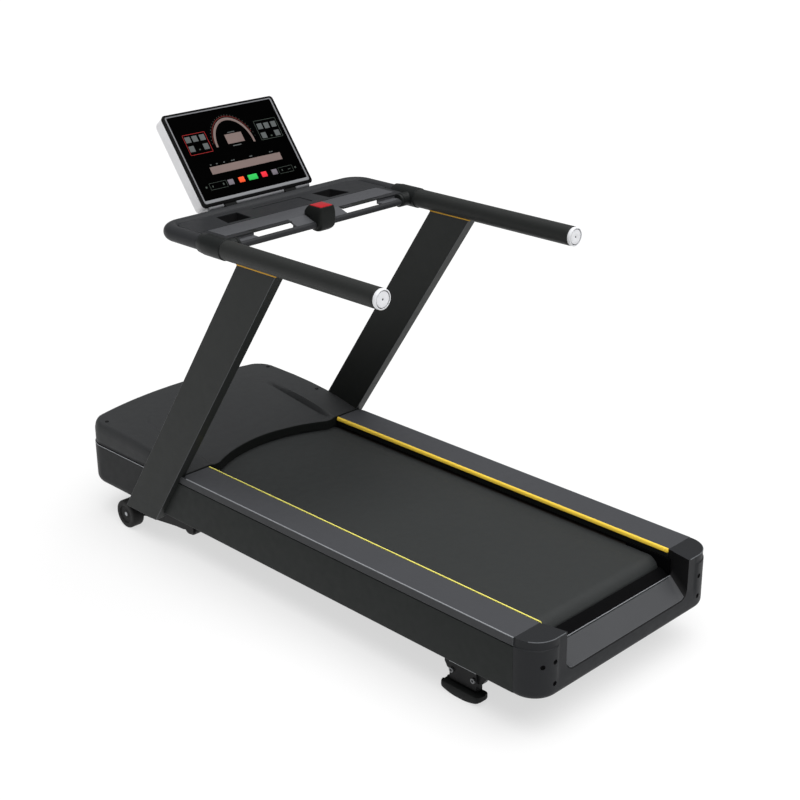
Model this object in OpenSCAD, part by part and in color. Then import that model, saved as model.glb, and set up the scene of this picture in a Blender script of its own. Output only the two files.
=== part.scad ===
// Commercial treadmill with a powered incline, a fixed handrail loop and a tilting console.
// X is across the machine, +Y points to the front (console end), Z = 0 is the floor.

/* [Deck] */
// Overall length from the rear cap to the nose of the motor cover
overall_length = 2060; // [1960:10:2160]
// Height of the foot rails above the floor
rail_top = 288; // [280:1:296]
// Clear width between the yellow accent strips
opening_w = 560; // [540:2:580]
// Half of the width over the side panels
body_half = 391; // [388:1:396]
// Height of the belt surface above the floor
belt_top = 254; // [250:1:256]
// Width of the running belt
belt_w = 548; // [520:2:552]
// Belt thickness
belt_t = 2.5; // [2:0.1:3]
// Length of the moulded rear end cap
cap_len = 85; // [80:1:95]

/* [Rollers and drive] */
// Radius of the belt rollers
roller_r = 36; // [30:1:38]
// Radius of the roller pulley
roller_pulley_r = 52; // [45:1:55]
// Radius of the motor pulley (sets the drive ratio)
motor_pulley_r = 20.8; // [18:0.2:24]
// Radius of the flywheel
flywheel_r = 72; // [60:1:75]

/* [Motor cover] */
// Height of the cover's flat top above the foot rails
hood_rise = 46; // [40:1:50]
// Wall of the plastic shells
shell_t = 3.5; // [3:0.1:5]

/* [Uprights and handrails] */
// Thickness of an upright across the machine
upright_t = 37; // [32:1:40]
// Height of the handrail centre line
rail_z = 1099; // [1060:1:1140]
// Half the distance between the handrail centre lines
rail_x = 393; // [385:1:400]
// Outer radius of the handrail grip
grip_r = 29.5; // [27:0.5:31]
// Length of each rear grip
grip_len = 632; // [560:1:660]
// Radius of the tray's rounded rim
rim_r = 24; // [20:1:26]

/* [Console] */
// Width of the console
console_w = 446; // [400:2:480]
// Height of the console along its slope
console_h = 319; // [290:1:330]
// Lean of the console away from upright, in degrees
console_lean = 37.1; // [30:0.1:45]
// Depth of the console housing
console_d = 58; // [45:1:70]

/* [Incline] */
// Radius of a transport wheel
wheel_r = 49; // [40:0.5:54]
// Width of a transport wheel
wheel_w = 44; // [36:1:46]
// Radius of the incline lever
lever_r = 100; // [90:1:110]

/* [Hidden] */
$fn = 64;

eps = 0.5;
gap = 0.3;
fine = 96;

// Stations along Y
rear_y = -overall_length / 2;
seam_y = rear_y + cap_len;
front_y = overall_length / 2;
hood_y = seam_y + 1397;
joint_y = seam_y + 1545;
roller_rear_y = seam_y + 62;
roller_front_y = seam_y + 1560;
motor_y = roller_front_y + 215;

// Levels
roller_z = belt_top - belt_t - roller_r;
motor_z = 200;
panel_top = rail_top - 30;
panel_bottom = 119;
beam_bottom = 120;
beam_top = 195;
deck_t = 25;
deck_top = belt_top - belt_t - eps;
hood_top = rail_top + hood_rise;

// Widths
half_open = opening_w / 2;
strip_t = 4;
rail_in = half_open + strip_t;
rail_out = body_half - 1;
beam_x = 351;
beam_w = 30;
upright_out = 411;
upright_in = upright_out - upright_t;

// Upright: four corners in the side view, as [y, z]
upright_low = 95;
upright_high = rail_z - 23;
upright_pts = [
    [seam_y + 1527, upright_low], [seam_y + 1690, upright_low],
    [seam_y + 1034, upright_high], [seam_y + 868, upright_high]
];
upright_wall = 3;

// Handrails and tray
grip_front_y = seam_y + 1112;
grip_rear_y = grip_front_y - grip_len;
tee_front_y = seam_y + 1231;
rim_front_y = seam_y + 1395;
rim_corner_r = 54;
tray_rear_y = seam_y + 1146;
tray_top = rail_top + 828;
bar_y = tray_rear_y - 21;
bar_z = tray_top - 22;
bar_r = 10;
bar_t = 6;
slot_in = 103;
slot_out = 252;
tube_r = 19;
tube_t = 2;

// Stop switch housing
stop_half = 33;
stop_y0 = tray_rear_y - 46;
stop_y1 = tray_rear_y + 32;
stop_top = tray_top + 31;
stop_low = tray_top - 46;
stop_travel = 4;

// Console placement: the lower front edge of the rim
console_y = seam_y + 1415;
console_z = rail_top + 841;
key_v = 63;
key_h = 22;
key_depth = 6;
key_proud = 0.8;
key_centres = [-84, -41, 4, 51, 94];
key_widths = [26, 26, 44, 26, 26];
hinge_v = 8;
hinge_w = -8;
hinge_pin_r = 4;
knuckle_r = 7;
hinge_xs = [-122, 122];
knuckle_l = 46;

// Incline frame
pivot_y = seam_y + 1425;
pivot_z = 83;
pivot_r = 9;
axle_y = seam_y + 1713;
axle_r = 8;
arm_in = 318;
arm_out = 348;
arm_half = 27;
wheel_out = 403;
lever_x = 300;
lever_t = 8;
lever_angle = 110;
lever_y = pivot_y + lever_r * cos(lever_angle);
lever_z = pivot_z + lever_r * sin(lever_angle);

// ---------- shared shapes ----------

// Mirror a child onto both sides of the machine
module both_sides() {
    children();
    mirror([1, 0, 0]) children();
}

// Put a child on the left (-1) or right (+1) side; it is drawn for +X
module on_side(side) {
    if (side > 0) {
        children();
    } else {
        mirror([1, 0, 0]) children();
    }
}

// A box given by its two corners
module block(low, high) {
    translate(low) cube(high - low);
}

// A cylinder along X between two x values
module rod_x(x0, x1, y, z, r) {
    translate([x0, y, z]) rotate([0, 90, 0]) cylinder(r = r, h = x1 - x0, $fn = fine);
}

// A cylinder along Y between two y values
module rod_y(y0, y1, x, z, r) {
    translate([x, y0, z]) rotate([-90, 0, 0]) cylinder(r = r, h = y1 - y0, $fn = fine);
}

// Extrude a side view, drawn as [y, z], along X
module side_extrude(x0, x1) {
    translate([x0, 0, 0]) rotate([90, 0, 90]) linear_extrude(height = x1 - x0) children();
}

// Points of an arc about a centre
function arc(c, r, a0, a1, n) = [
    for (i = [0:n]) c + r * [cos(a0 + (a1 - a0) * i / n), sin(a0 + (a1 - a0) * i / n)]
];

// A rectangle with rounded corners
module round_rect(x0, y0, x1, y1, r) {
    polygon(concat(
        arc([x1 - r, y1 - r], r, 0, 90, 8), arc([x0 + r, y1 - r], r, 90, 180, 8),
        arc([x0 + r, y0 + r], r, 180, 270, 8), arc([x1 - r, y0 + r], r, 270, 360, 8)
    ));
}

// The room an upright takes, grown by c on every side
module upright_room(c) {
    lean = (upright_pts[3][0] - upright_pts[0][0]) / (upright_high - upright_low);
    side_extrude(upright_in - c, upright_out + c)
        polygon([
            [upright_pts[0][0] - lean * c - 1.2 * c, upright_low - c],
            [upright_pts[1][0] - lean * c + 1.2 * c, upright_low - c],
            [upright_pts[2][0] + 1.2 * c, upright_high],
            [upright_pts[3][0] - 1.2 * c, upright_high]
        ]);
}

// Plan of the motor cover, inset by d; it starts at y0
nose_r = 1268;
nose_corner_r = 90;
module hood_plan(y0, d) {
    corner_x = body_half - nose_corner_r;
    corner_y = front_y - 127;
    bow_half = asin(corner_x / nose_r);
    polygon(concat(
        [[body_half - d, y0]],
        arc([corner_x, corner_y], nose_corner_r - d, 0, 90 - bow_half, 8),
        arc([0, front_y - nose_r], nose_r - d, 90 - bow_half, 90 + bow_half, 16),
        arc([-corner_x, corner_y], nose_corner_r - d, 90 + bow_half, 180, 8),
        [[-(body_half - d), y0]]
    ));
}

// ---------- frame and running surface ----------

rail_bracket_ys = [seam_y + 60, seam_y + 520, seam_y + 980, seam_y + 1375];
cross_ys = [seam_y + 95, seam_y + 470, seam_y + 850, seam_y + 1230];
module frame_beams() {
    beam_wall = 3;
    cross_z = 125;
    cross_h = 40;
    color("dimgray") both_sides() difference() {
        block([beam_x - beam_w / 2, seam_y + 15, beam_bottom], [beam_x + beam_w / 2, front_y - 150, beam_top]);
        block([beam_x - beam_w / 2 + beam_wall, seam_y + 14, beam_bottom + beam_wall],
              [beam_x + beam_w / 2 - beam_wall, front_y - 149, beam_top - beam_wall]);
    }
    inner = beam_x - beam_w / 2;
    color("dimgray") for (y = cross_ys) difference() {
        block([-inner, y - 20, cross_z], [inner, y + 20, cross_z + cross_h]);
        block([-inner - 1, y - 20 + beam_wall, cross_z + beam_wall],
              [inner + 1, y + 20 - beam_wall, cross_z + cross_h - beam_wall]);
    }
    outer = beam_x + beam_w / 2;
    color("dimgray") both_sides() {
        for (y = rail_bracket_ys) {
            block([outer, y - 20, beam_bottom + 30], [outer + beam_wall, y + 20, rail_top - 5]);
            block([outer - 40, y - 20, rail_top - 5 - beam_wall], [outer + beam_wall, y + 20, rail_top - 5]);
        }
        block([outer, joint_y, beam_bottom + 10], [upright_in, joint_y + 70, beam_top - 5]);
    }
}

module motor_base() {
    inner = beam_x - beam_w / 2;
    color("dimgray") {
        block([-inner, motor_y - 130, beam_bottom], [inner, motor_y + 62, beam_bottom + 6]);
        for (x = [-235, -70]) {
            difference() {
                block([x, motor_y - 50, beam_bottom + 6], [x + 25, motor_y + 50, motor_z - 30]);
                rod_x(x - 1, x + 26, motor_y, motor_z, 60 + gap);
            }
        }
    }
}

deck_half = beam_x + beam_w / 2 - 2;
deck_y0 = roller_rear_y + 50;
deck_y1 = roller_front_y - 60;
module deck_board() {
    color("saddlebrown")
        block([-deck_half, deck_y0, deck_top - deck_t], [deck_half, deck_y1, deck_top]);
}

module deck_cushions() {
    color("black") both_sides() for (i = [0:3]) {
        y = deck_y0 + 110 + i * (deck_y1 - deck_y0 - 220) / 3;
        translate([beam_x, y, beam_top]) cylinder(r = 13, h = deck_top - deck_t - beam_top);
    }
}

// A loop round both rollers at a given radius and half width
module belt_loop(r, half) {
    block([-half, roller_rear_y, roller_z - r], [half, roller_front_y, roller_z + r]);
    for (y = [roller_rear_y, roller_front_y]) rod_x(-half, half, y, roller_z, r);
}

module running_belt() {
    color([0.2, 0.21, 0.21]) difference() {
        belt_loop(roller_r + belt_t, belt_w / 2);
        belt_loop(roller_r, belt_w / 2 + 1);
    }
}

// Radius of the roller shell: it leaves running room inside the belt
shell_r = roller_r - gap;
shaft_r = 10;
shaft_end = beam_x + beam_w / 2;
module roller(y) {
    difference() {
        rod_x(-belt_w / 2 - 2, belt_w / 2 + 2, y, roller_z, shell_r);
        rod_x(-belt_w / 2 + 18, belt_w / 2 - 18, y, roller_z, shell_r - 4);
    }
    rod_x(-shaft_end + 3, -belt_w / 2 - 2, y, roller_z, shaft_r);
    rod_x(belt_w / 2 + 2, shaft_end - 3, y, roller_z, shaft_r);
}

module front_roller() {
    color("silver") roller(roller_front_y);
}

module rear_roller() {
    color("silver") roller(roller_rear_y);
}

drive_x = -300;
drive_w = 22;
module roller_pulley() {
    color("gray") difference() {
        rod_x(drive_x - drive_w / 2, drive_x + drive_w / 2, roller_front_y, roller_z, roller_pulley_r);
        rod_x(drive_x - drive_w, drive_x + drive_w, roller_front_y, roller_z, shaft_r);
    }
}

module bearing_blocks() {
    run = 0.05;
    color("slategray") both_sides() for (y = [roller_rear_y, roller_front_y]) difference() {
        block([beam_x - beam_w / 2, y - 28, beam_top], [beam_x + beam_w / 2, y + 28, beam_top + 44]);
        rod_x(beam_x - beam_w, beam_x + beam_w, y, roller_z, shaft_r + run);
    }
}

module roller_tensioners() {
    color("silver") both_sides() {
        rod_y(roller_rear_y - 66, roller_rear_y - 28, beam_x, beam_top + 34, 4);
        rod_y(roller_rear_y - 72, roller_rear_y - 66, beam_x, beam_top + 34, 8);
    }
}

// ---------- foot rails, panels and rear cap ----------

module foot_rail(side) {
    wall = 5;
    color([0.31, 0.32, 0.33]) on_side(side) difference() {
        translate([0, hood_y - 2, 0]) rotate([90, 0, 0]) linear_extrude(height = hood_y - 2 - seam_y)
            polygon([
                [rail_in, rail_top - 30], [rail_in + wall, rail_top - 30], [rail_in + wall, rail_top - wall],
                [rail_out - wall, rail_top - wall], [rail_out - wall, rail_top - 26],
                [rail_out, rail_top - 26], [rail_out, rail_top - 1.5], [rail_out - 1.5, rail_top],
                [rail_in, rail_top]
            ]);
        upright_room(1);
    }
}

module accent_strips() {
    color("gold") both_sides()
        block([half_open, seam_y, rail_top - 14], [half_open + strip_t, hood_y - 6, rail_top + 1]);
}

module side_panel(side) {
    color([0.18, 0.19, 0.185]) on_side(side) difference() {
        translate([0, joint_y, 0]) rotate([90, 0, 0]) linear_extrude(height = joint_y - seam_y)
            polygon([
                [body_half, panel_bottom + 4], [body_half, panel_top], [body_half - 20, panel_top],
                [body_half - 20, panel_top - shell_t], [body_half - shell_t, panel_top - shell_t],
                [body_half - shell_t, panel_bottom + shell_t], [body_half - 20, panel_bottom + shell_t],
                [body_half - 20, panel_bottom], [body_half - 4, panel_bottom]
            ]);
        upright_room(1);
    }
}

// Plan of the rear cap, inset by d
cap_corner_r = 76;
module cap_plan(d) {
    corner = [body_half - cap_corner_r, rear_y + cap_corner_r];
    r = cap_corner_r - d;
    polygon(concat(
        [[body_half - d, seam_y]], [[-(body_half - d), seam_y]],
        arc([-corner[0], corner[1]], r, 180, 270, 12), arc(corner, r, 270, 360, 12)
    ));
}

// Side view of the space over the stepping slope between the cap's ears, lowered by d
slope_half = 271;
cap_low = panel_bottom - 7;
module slope_room(d, half) {
    side_extrude(-half, half) polygon([
        [seam_y + 1, rail_top - 71 - d], [seam_y - 18, rail_top - 71 - d], [seam_y - 18, rail_top - 79 - d],
        [rear_y - 1, rail_top - 125 - d], [rear_y - 1, rail_top + 1], [seam_y + 1, rail_top + 1]
    ]);
}

// Screws in the rear cap: [x, y, z, angle round the corner]
corner_at = [body_half - cap_corner_r, rear_y + cap_corner_r];
corner_screw_angle = 33;
corner_screw_x = corner_at[0] + cap_corner_r * sin(corner_screw_angle);
corner_screw_y = corner_at[1] - cap_corner_r * cos(corner_screw_angle);
cap_spots = [
    [320, rear_y, rail_top - 68, 0],
    [320, rear_y, rail_top - 133, 0],
    [corner_screw_x, corner_screw_y, rail_top - 74.5, corner_screw_angle]
];
head_r = 4.6;
shank_r = 2;

// A round bar or hole at every cap screw, from one depth to another inside the surface
module at_cap_screws(r, from, to) {
    both_sides() for (s = cap_spots) {
        translate([s[0], s[1], s[2]]) rotate([0, 0, s[3]]) rotate([-90, 0, 0])
            translate([0, 0, from]) cylinder(r = r, h = to - from);
    }
}

module rear_cap() {
    color([0.24, 0.24, 0.25]) difference() {
        union() {
            translate([0, 0, cap_low]) linear_extrude(height = 7) cap_plan(5);
            translate([0, 0, panel_bottom]) linear_extrude(height = rail_top - 25 - panel_bottom) cap_plan(0);
            translate([0, 0, rail_top - 25]) linear_extrude(height = 25) cap_plan(3);
        }
        slope_room(0, slope_half);
        difference() {
            translate([0, 1, panel_bottom - 8]) linear_extrude(height = rail_top - 4 - panel_bottom + 8)
                cap_plan(7);
            slope_room(5, slope_half + 5);
        }
        at_cap_screws(head_r + 0.4, -4, 4);
        at_cap_screws(shank_r, 3, 12);
    }
}

module cap_screws() {
    color("dimgray") {
        at_cap_screws(head_r, 1.5, 4);
        at_cap_screws(shank_r, 4, 16);
    }
}

// ---------- rear feet ----------

foot_x = 350;
foot_y = seam_y + 208;
foot_half = 71;
pad_top = 29;
bolt_z = pad_top + 38;
module foot_brackets() {
    color([0.13, 0.13, 0.13]) both_sides() {
        block([foot_x - 20, foot_y - 56, pad_top], [foot_x + 8, foot_y + 56, beam_bottom]);
        block([foot_x - 20, foot_y - foot_half + 4, pad_top + 30], [foot_x + 2, foot_y - 56, beam_bottom]);
        block([foot_x - 20, foot_y + 56, pad_top + 30], [foot_x + 2, foot_y + foot_half - 4, beam_bottom]);
    }
}

module foot_bolts() {
    color("silver") both_sides() for (dy = [-40, 40]) {
        rod_x(foot_x + 8, foot_x + 10, foot_y + dy, bolt_z, 9);
        rod_x(foot_x + 10, foot_x + 15, foot_y + dy, bolt_z, 6);
    }
}

module foot_pads() {
    rocker_r = 197;
    flat_drop = 0.7;
    color([0.15, 0.155, 0.15]) both_sides() intersection() {
        rod_x(foot_x - 24, foot_x + 24, foot_y, rocker_r - flat_drop, rocker_r);
        block([foot_x - 25, foot_y - foot_half, 0], [foot_x + 25, foot_y + foot_half, pad_top]);
    }
}

// ---------- motor cover ----------

belt_arc_r = 457;
dish_half = 268;
dish_front = seam_y + 1790;
module belt_arc_cut() {
    intersection() {
        translate([0, hood_y + 66 - belt_arc_r, panel_top - 8]) cylinder(r = belt_arc_r, h = 90, $fn = 180);
        block([-rail_in, hood_y - 20, panel_top - 9], [rail_in, hood_y + 80, hood_top + 1]);
    }
}

// The sloping dish that falls from the cover's flat top to the belt
module dish_room(d) {
    side_extrude(-dish_half - d, dish_half + d) polygon([
        [hood_y - 5, rail_top + 1 - d], [hood_y + 70, rail_top + 3 - d], [dish_front, hood_top - d / 2],
        [dish_front, hood_top + 2], [hood_y - 5, hood_top + 2]
    ]);
}

// Side view of the cover's shoulders, which rise in a curve from the foot rails
rise_at = [0, 50, 100, 160, 240, 350];
rise_by = [2, 14, 24, 33, 40, hood_rise];
module shoulder_room(d) {
    side_extrude(-body_half, body_half) polygon(concat(
        [[hood_y + d, panel_top]],
        [for (i = [0:5]) [hood_y + d + rise_at[i], rail_top + rise_by[i] - d]],
        [[front_y + 10, hood_top - d], [front_y + 10, panel_top]]
    ));
}

// The cover's outer form, moved inwards by d, from height z0 up
cover_inset = 3;
bevel = 10;
module hood_solid(d, z0) {
    intersection() {
        hull() {
            translate([0, 0, z0]) linear_extrude(height = rail_top + 14 - d - z0)
                hood_plan(hood_y, cover_inset + d);
            translate([0, 0, rail_top + 15]) linear_extrude(height = hood_rise - 15 - d)
                hood_plan(hood_y, cover_inset + bevel + d);
        }
        shoulder_room(d);
    }
}

hood_screw_pts = [[356, seam_y + 1847], [352, seam_y + 1577]];
module hood_upper() {
    color([0.26, 0.26, 0.27]) difference() {
        hood_solid(0, panel_top + 1);
        difference() {
            hood_solid(shell_t, panel_top);
            dish_room(shell_t);
        }
        dish_room(0);
        belt_arc_cut();
        both_sides() upright_room(1);
        both_sides() for (p = hood_screw_pts) translate([p[0], p[1], rail_top]) cylinder(r = 3, h = 60);
    }
}

module hood_screws() {
    color("black") both_sides() for (p = hood_screw_pts) {
        top = p[1] > dish_front ? hood_top : hood_top - 13;
        translate([p[0], p[1], top - 9]) cylinder(r = 2.9, h = 8);
    }
}

module hood_lower() {
    low = panel_bottom - 7;
    color([0.22, 0.22, 0.225]) difference() {
        hull() {
            translate([0, 0, panel_bottom + 18]) linear_extrude(height = panel_top - panel_bottom - 18)
                hood_plan(joint_y + 1, 0);
            translate([0, 0, low]) linear_extrude(height = 2) hood_plan(joint_y + 1, 18);
        }
        hull() {
            translate([0, -5, panel_bottom + 18]) linear_extrude(height = panel_top - panel_bottom - 17)
                hood_plan(joint_y, shell_t);
            translate([0, -5, low - 1]) linear_extrude(height = 2) hood_plan(joint_y, 18 + shell_t);
        }
        both_sides() upright_room(1);
        inlet_room(0.05);
        switch_room(0.05);
    }
}

module belly_pan() {
    inner = beam_x + beam_w / 2;
    color([0.15, 0.15, 0.15])
        block([-inner, joint_y + 8, panel_bottom - 5], [inner, front_y - 152, panel_bottom - 1]);
}

// ---------- uprights, handrails and tray ----------

module upright(side) {
    lean = (upright_pts[3][0] - upright_pts[0][0]) / (upright_high - upright_low);
    w = upright_wall * 1.25;
    trim = 3.5;
    color([0.24, 0.25, 0.245]) on_side(side) difference() {
        side_extrude(upright_in, upright_out) polygon(upright_pts);
        side_extrude(upright_in + upright_wall, upright_out - upright_wall)
            polygon([
                [upright_pts[0][0] - lean + w, upright_low - 1], [upright_pts[1][0] - lean - w, upright_low - 1],
                [upright_pts[2][0] + lean - w, upright_high + 1], [upright_pts[3][0] + lean + w, upright_high + 1]
            ]);
        block([upright_in - 1, upright_pts[3][0] - 5, upright_high - trim],
              [upright_out + 1, upright_pts[2][0] + 9, upright_high + 1]);
        rod_y(upright_pts[3][0] - 10, upright_pts[2][0] + 20, rail_x, rail_z, grip_r + 0.1);
    }
}

module upright_trims() {
    trim = 3.5;
    color("goldenrod") both_sides() difference() {
        block([upright_in - 1, upright_pts[3][0] - 1, upright_high - trim],
              [upright_out + 1, upright_pts[2][0] + 3, upright_high]);
        rod_y(upright_pts[3][0] - 10, upright_pts[2][0] + 20, rail_x, rail_z, grip_r + 0.1);
    }
}

tee_r = 32;
branch_r = 21;
branch_in = 328;
branch_y = bar_y + 8;
branch_z = bar_z + 3;
branch_front = branch_y + 20;
module rail_tees() {
    color([0.18, 0.18, 0.185]) both_sides() difference() {
        union() {
            rod_y(grip_front_y, tee_front_y, rail_x, rail_z, tee_r);
            rod_x(branch_in, rail_x, branch_y, branch_z, branch_r);
        }
        rod_y(grip_front_y - 1, tee_front_y + 1, rail_x, rail_z, tube_r);
        bar_shape(branch_in - 1, rail_x);
    }
}

module handrail_tubes() {
    color("silver") both_sides() difference() {
        rod_y(grip_rear_y + 4, tee_front_y + 40, rail_x, rail_z, tube_r);
        rod_y(grip_rear_y + 3, tee_front_y + 41, rail_x, rail_z, tube_r - tube_t);
    }
}

module hand_grips() {
    color([0.18, 0.19, 0.185]) both_sides() difference() {
        rod_y(grip_rear_y, grip_front_y, rail_x, rail_z, grip_r);
        rod_y(grip_rear_y - 1, grip_front_y + 1, rail_x, rail_z, tube_r);
    }
}

module end_caps() {
    color("white") both_sides() {
        rod_y(grip_rear_y - 11, grip_rear_y, rail_x, rail_z, grip_r - 1);
        rod_y(grip_rear_y, grip_rear_y + 4, rail_x, rail_z, tube_r - gap);
        rod_y(grip_rear_y + 4, grip_rear_y + 24, rail_x, rail_z, tube_r - tube_t);
    }
}

// The thin part of the crossbar between two x values: a rod with a flat plate ahead of it
module bar_shape(x0, x1) {
    rod_x(x0, x1, bar_y, bar_z, bar_r);
    block([x0, bar_y, bar_z + bar_r - bar_t], [x1, tray_rear_y - eps, bar_z + bar_r]);
}

module crossbar() {
    end_x = rail_x - tube_r - 2;
    color([0.35, 0.36, 0.37]) difference() {
        bar_shape(-end_x, end_x);
        both_sides() block([slot_in, bar_y + 9, bar_z - bar_r - 1], [slot_out, tray_rear_y, bar_z + bar_r + 1]);
    }
}

// One leg and one quarter of the rim, drawn for +X
module tray_rim() {
    corner_x = rail_x - rim_corner_r;
    corner_y = rim_front_y - rim_corner_r;
    color([0.21, 0.22, 0.225]) difference() {
        union() {
            both_sides() {
                rod_y(tee_front_y, corner_y, rail_x, rail_z, rim_r);
                translate([corner_x, corner_y, rail_z]) rotate_extrude(angle = 90, $fn = fine)
                    translate([rim_corner_r, 0]) circle(r = rim_r, $fn = fine);
            }
            rod_x(-corner_x, corner_x, rim_front_y, rail_z, rim_r);
        }
        both_sides() rod_y(tee_front_y - 1, tee_front_y + 40, rail_x, rail_z, tube_r);
    }
}

pocket_in = 157;
pocket_out = 242;
pocket_y0 = seam_y + 1271;
pocket_y1 = seam_y + 1347;
pocket_depth = 34;
recess_half = 96;
tray_t = 6;
tray_wall = 3;
module tray_plan() {
    corner = [rail_x - rim_corner_r, rim_front_y - rim_corner_r];
    reach = rim_corner_r - rim_r + 2;
    neck = rail_x - tee_r + 1;
    polygon(concat(
        [[neck, branch_front], [neck, tee_front_y + gap], [corner[0] + reach, tee_front_y + gap]],
        arc(corner, reach, 0, 90, 10), arc([-corner[0], corner[1]], reach, 90, 180, 10),
        [[-corner[0] - reach, tee_front_y + gap], [-neck, tee_front_y + gap], [-neck, branch_front]],
        [[-branch_in + 1, branch_front], [-branch_in + 1, tray_rear_y]],
        [[branch_in - 1, tray_rear_y], [branch_in - 1, branch_front]]
    ));
}

module tray() {
    color([0.22, 0.22, 0.23]) difference() {
        union() {
            translate([0, 0, tray_top - tray_t]) linear_extrude(height = tray_t) tray_plan();
            block([-slot_in + 2, tray_rear_y, tray_top - 24],
                  [slot_in - 2, tray_rear_y + tray_wall, tray_top - tray_t]);
            both_sides() block(
                [pocket_in - tray_wall, pocket_y0 - tray_wall, tray_top - pocket_depth - tray_wall],
                [pocket_out + tray_wall, pocket_y1 + tray_wall, tray_top - tray_t]);
        }
        both_sides()
            block([pocket_in, pocket_y0, tray_top - pocket_depth], [pocket_out, pocket_y1, tray_top + 1]);
        block([-recess_half, pocket_y0 + 4, tray_top - 3], [recess_half, pocket_y1 - 4, tray_top + 1]);
    }
}

// ---------- stop switch ----------

module stop_housing() {
    color([0.16, 0.17, 0.165]) difference() {
        union() {
            block([-stop_half, stop_y0, stop_low], [stop_half, tray_rear_y - eps, stop_top]);
            block([-stop_half, stop_y0, tray_top + eps], [stop_half, stop_y1, stop_top]);
        }
        bar_shape(-stop_half - 1, stop_half + 1);
        block([-stop_half + 5, stop_y0 + 5, stop_top - 15], [stop_half - 5, stop_y1 - 5, stop_top + 1]);
    }
}

module stop_button() {
    color("red") block([-stop_half + 5.4, stop_y0 + 5.4, stop_top - 15 + stop_travel + 1],
                       [stop_half - 5.4, stop_y1 - 5.4, stop_top + 3]);
}

// ---------- console ----------

// Place a child, drawn flat, on the console's slope
module on_console() {
    translate([0, console_y, console_z]) rotate([90 - console_lean, 0, 0]) children();
}

// A flat plate with rounded corners in console coordinates
module console_plate(margin, low, high, r) {
    translate([0, 0, low]) linear_extrude(height = high - low)
        round_rect(-console_w / 2 + margin, margin, console_w / 2 - margin, console_h - margin, r);
}

bezel_t = 9;
glass_margin = 15;
glass_low = 22;
glass_top = console_h - 11;
module glass_plate(grow, low, high) {
    half = console_w / 2 - glass_margin + grow;
    translate([0, 0, low]) linear_extrude(height = high - low)
        round_rect(-half, glass_low - grow, half, glass_top + grow, 4);
}

module key_room(i, c) {
    x = key_centres[i];
    w = key_widths[i] / 2 + c;
    block([x - w, key_v - key_h / 2 - c, -key_depth - 2], [x + w, key_v + key_h / 2 + c, 2]);
}

module console_shell() {
    wall = 3;
    color([0.88, 0.88, 0.885]) on_console() difference() {
        console_plate(2, -console_d, -bezel_t, 14);
        console_plate(2 + wall, -console_d + wall, -bezel_t + 1, 11);
        for (x = hinge_xs) hinge_room(x);
    }
}

module console_bezel() {
    color([0.2, 0.21, 0.215]) on_console() difference() {
        console_plate(0, -bezel_t, 0, 12);
        glass_plate(0.2, -4.2, 1);
        glass_plate(-8, -bezel_t - 1, 1);
        for (x = hinge_xs) hinge_room(x);
    }
}

module console_glass() {
    color([0.02, 0.02, 0.02]) on_console() difference() {
        glass_plate(0, -4, -1);
        for (i = [0:len(key_centres) - 1]) key_room(i, 0.4);
    }
}

module console_board() {
    color("green") on_console()
        block([-185, 30, -20], [185, 285, -18]);
    color("dimgray") on_console() for (x = [-170, 170]) for (v = [45, 270])
        translate([x, v, -console_d + 3]) cylinder(r = 5, h = console_d - 23);
}

module key(i) {
    x = key_centres[i];
    w = key_widths[i] / 2;
    on_console() block([x - w, key_v - key_h / 2, -key_depth], [x + w, key_v + key_h / 2, key_proud - 1]);
}

module key_slower() {
    color("gray") key(0);
}

module key_stop() {
    color("orangered") key(1);
}

module key_start() {
    color("limegreen") key(2);
}

module key_pause() {
    color("crimson") key(3);
}

module key_faster() {
    color("gray") key(4);
}

// Space cut from the console for one fixed hinge knuckle
module hinge_room(x) {
    translate([x - knuckle_l / 2 - 1, hinge_v, hinge_w]) rotate([0, 90, 0])
        cylinder(r = knuckle_r + 2, h = knuckle_l + 2);
    block([x - knuckle_l / 2 - 1, -5, hinge_w - knuckle_r - 2], [x + knuckle_l / 2 + 1, hinge_v, 2]);
    translate([x - knuckle_l / 2 - 12, hinge_v, hinge_w]) rotate([0, 90, 0])
        cylinder(r = hinge_pin_r + 0.05, h = knuckle_l + 24);
}

module hinge_base() {
    hinge_y = console_y + hinge_v * sin(console_lean) - hinge_w * cos(console_lean);
    hinge_z = console_z + hinge_v * cos(console_lean) + hinge_w * sin(console_lean);
    color([0.13, 0.13, 0.14]) for (x = hinge_xs) {
        difference() {
            union() {
                rod_x(x - knuckle_l / 2, x + knuckle_l / 2, hinge_y, hinge_z, knuckle_r);
                side_extrude(x - knuckle_l / 2, x + knuckle_l / 2) polygon([
                    [rim_front_y + 4, rail_z + 16], [hinge_y - knuckle_r + 1, hinge_z - 2],
                    [hinge_y - 1, hinge_z - knuckle_r], [rim_front_y + 20, rail_z + 8]
                ]);
            }
            rod_x(x - knuckle_l, x + knuckle_l, rim_front_y, rail_z, rim_r);
        }
        rod_x(x - knuckle_l / 2 - 10, x - knuckle_l / 2, hinge_y, hinge_z, hinge_pin_r);
        rod_x(x + knuckle_l / 2, x + knuckle_l / 2 + 10, hinge_y, hinge_z, hinge_pin_r);
    }
}

// ---------- drive ----------

module drive_motor() {
    color([0.3, 0.31, 0.32]) difference() {
        union() {
            rod_x(-240, -35, motor_y, motor_z, 60);
            block([-190, motor_y - 25, motor_z + 50], [-110, motor_y + 25, motor_z + 78]);
        }
        rod_x(-241, -34, motor_y, motor_z, 12.1);
    }
}

module motor_shaft() {
    color("silver") rod_x(-322, -30, motor_y, motor_z, 12);
}

module flywheel() {
    color("gray") difference() {
        rod_x(-280, -252, motor_y, motor_z, flywheel_r);
        rod_x(-290, -245, motor_y, motor_z, 12);
    }
}

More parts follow.
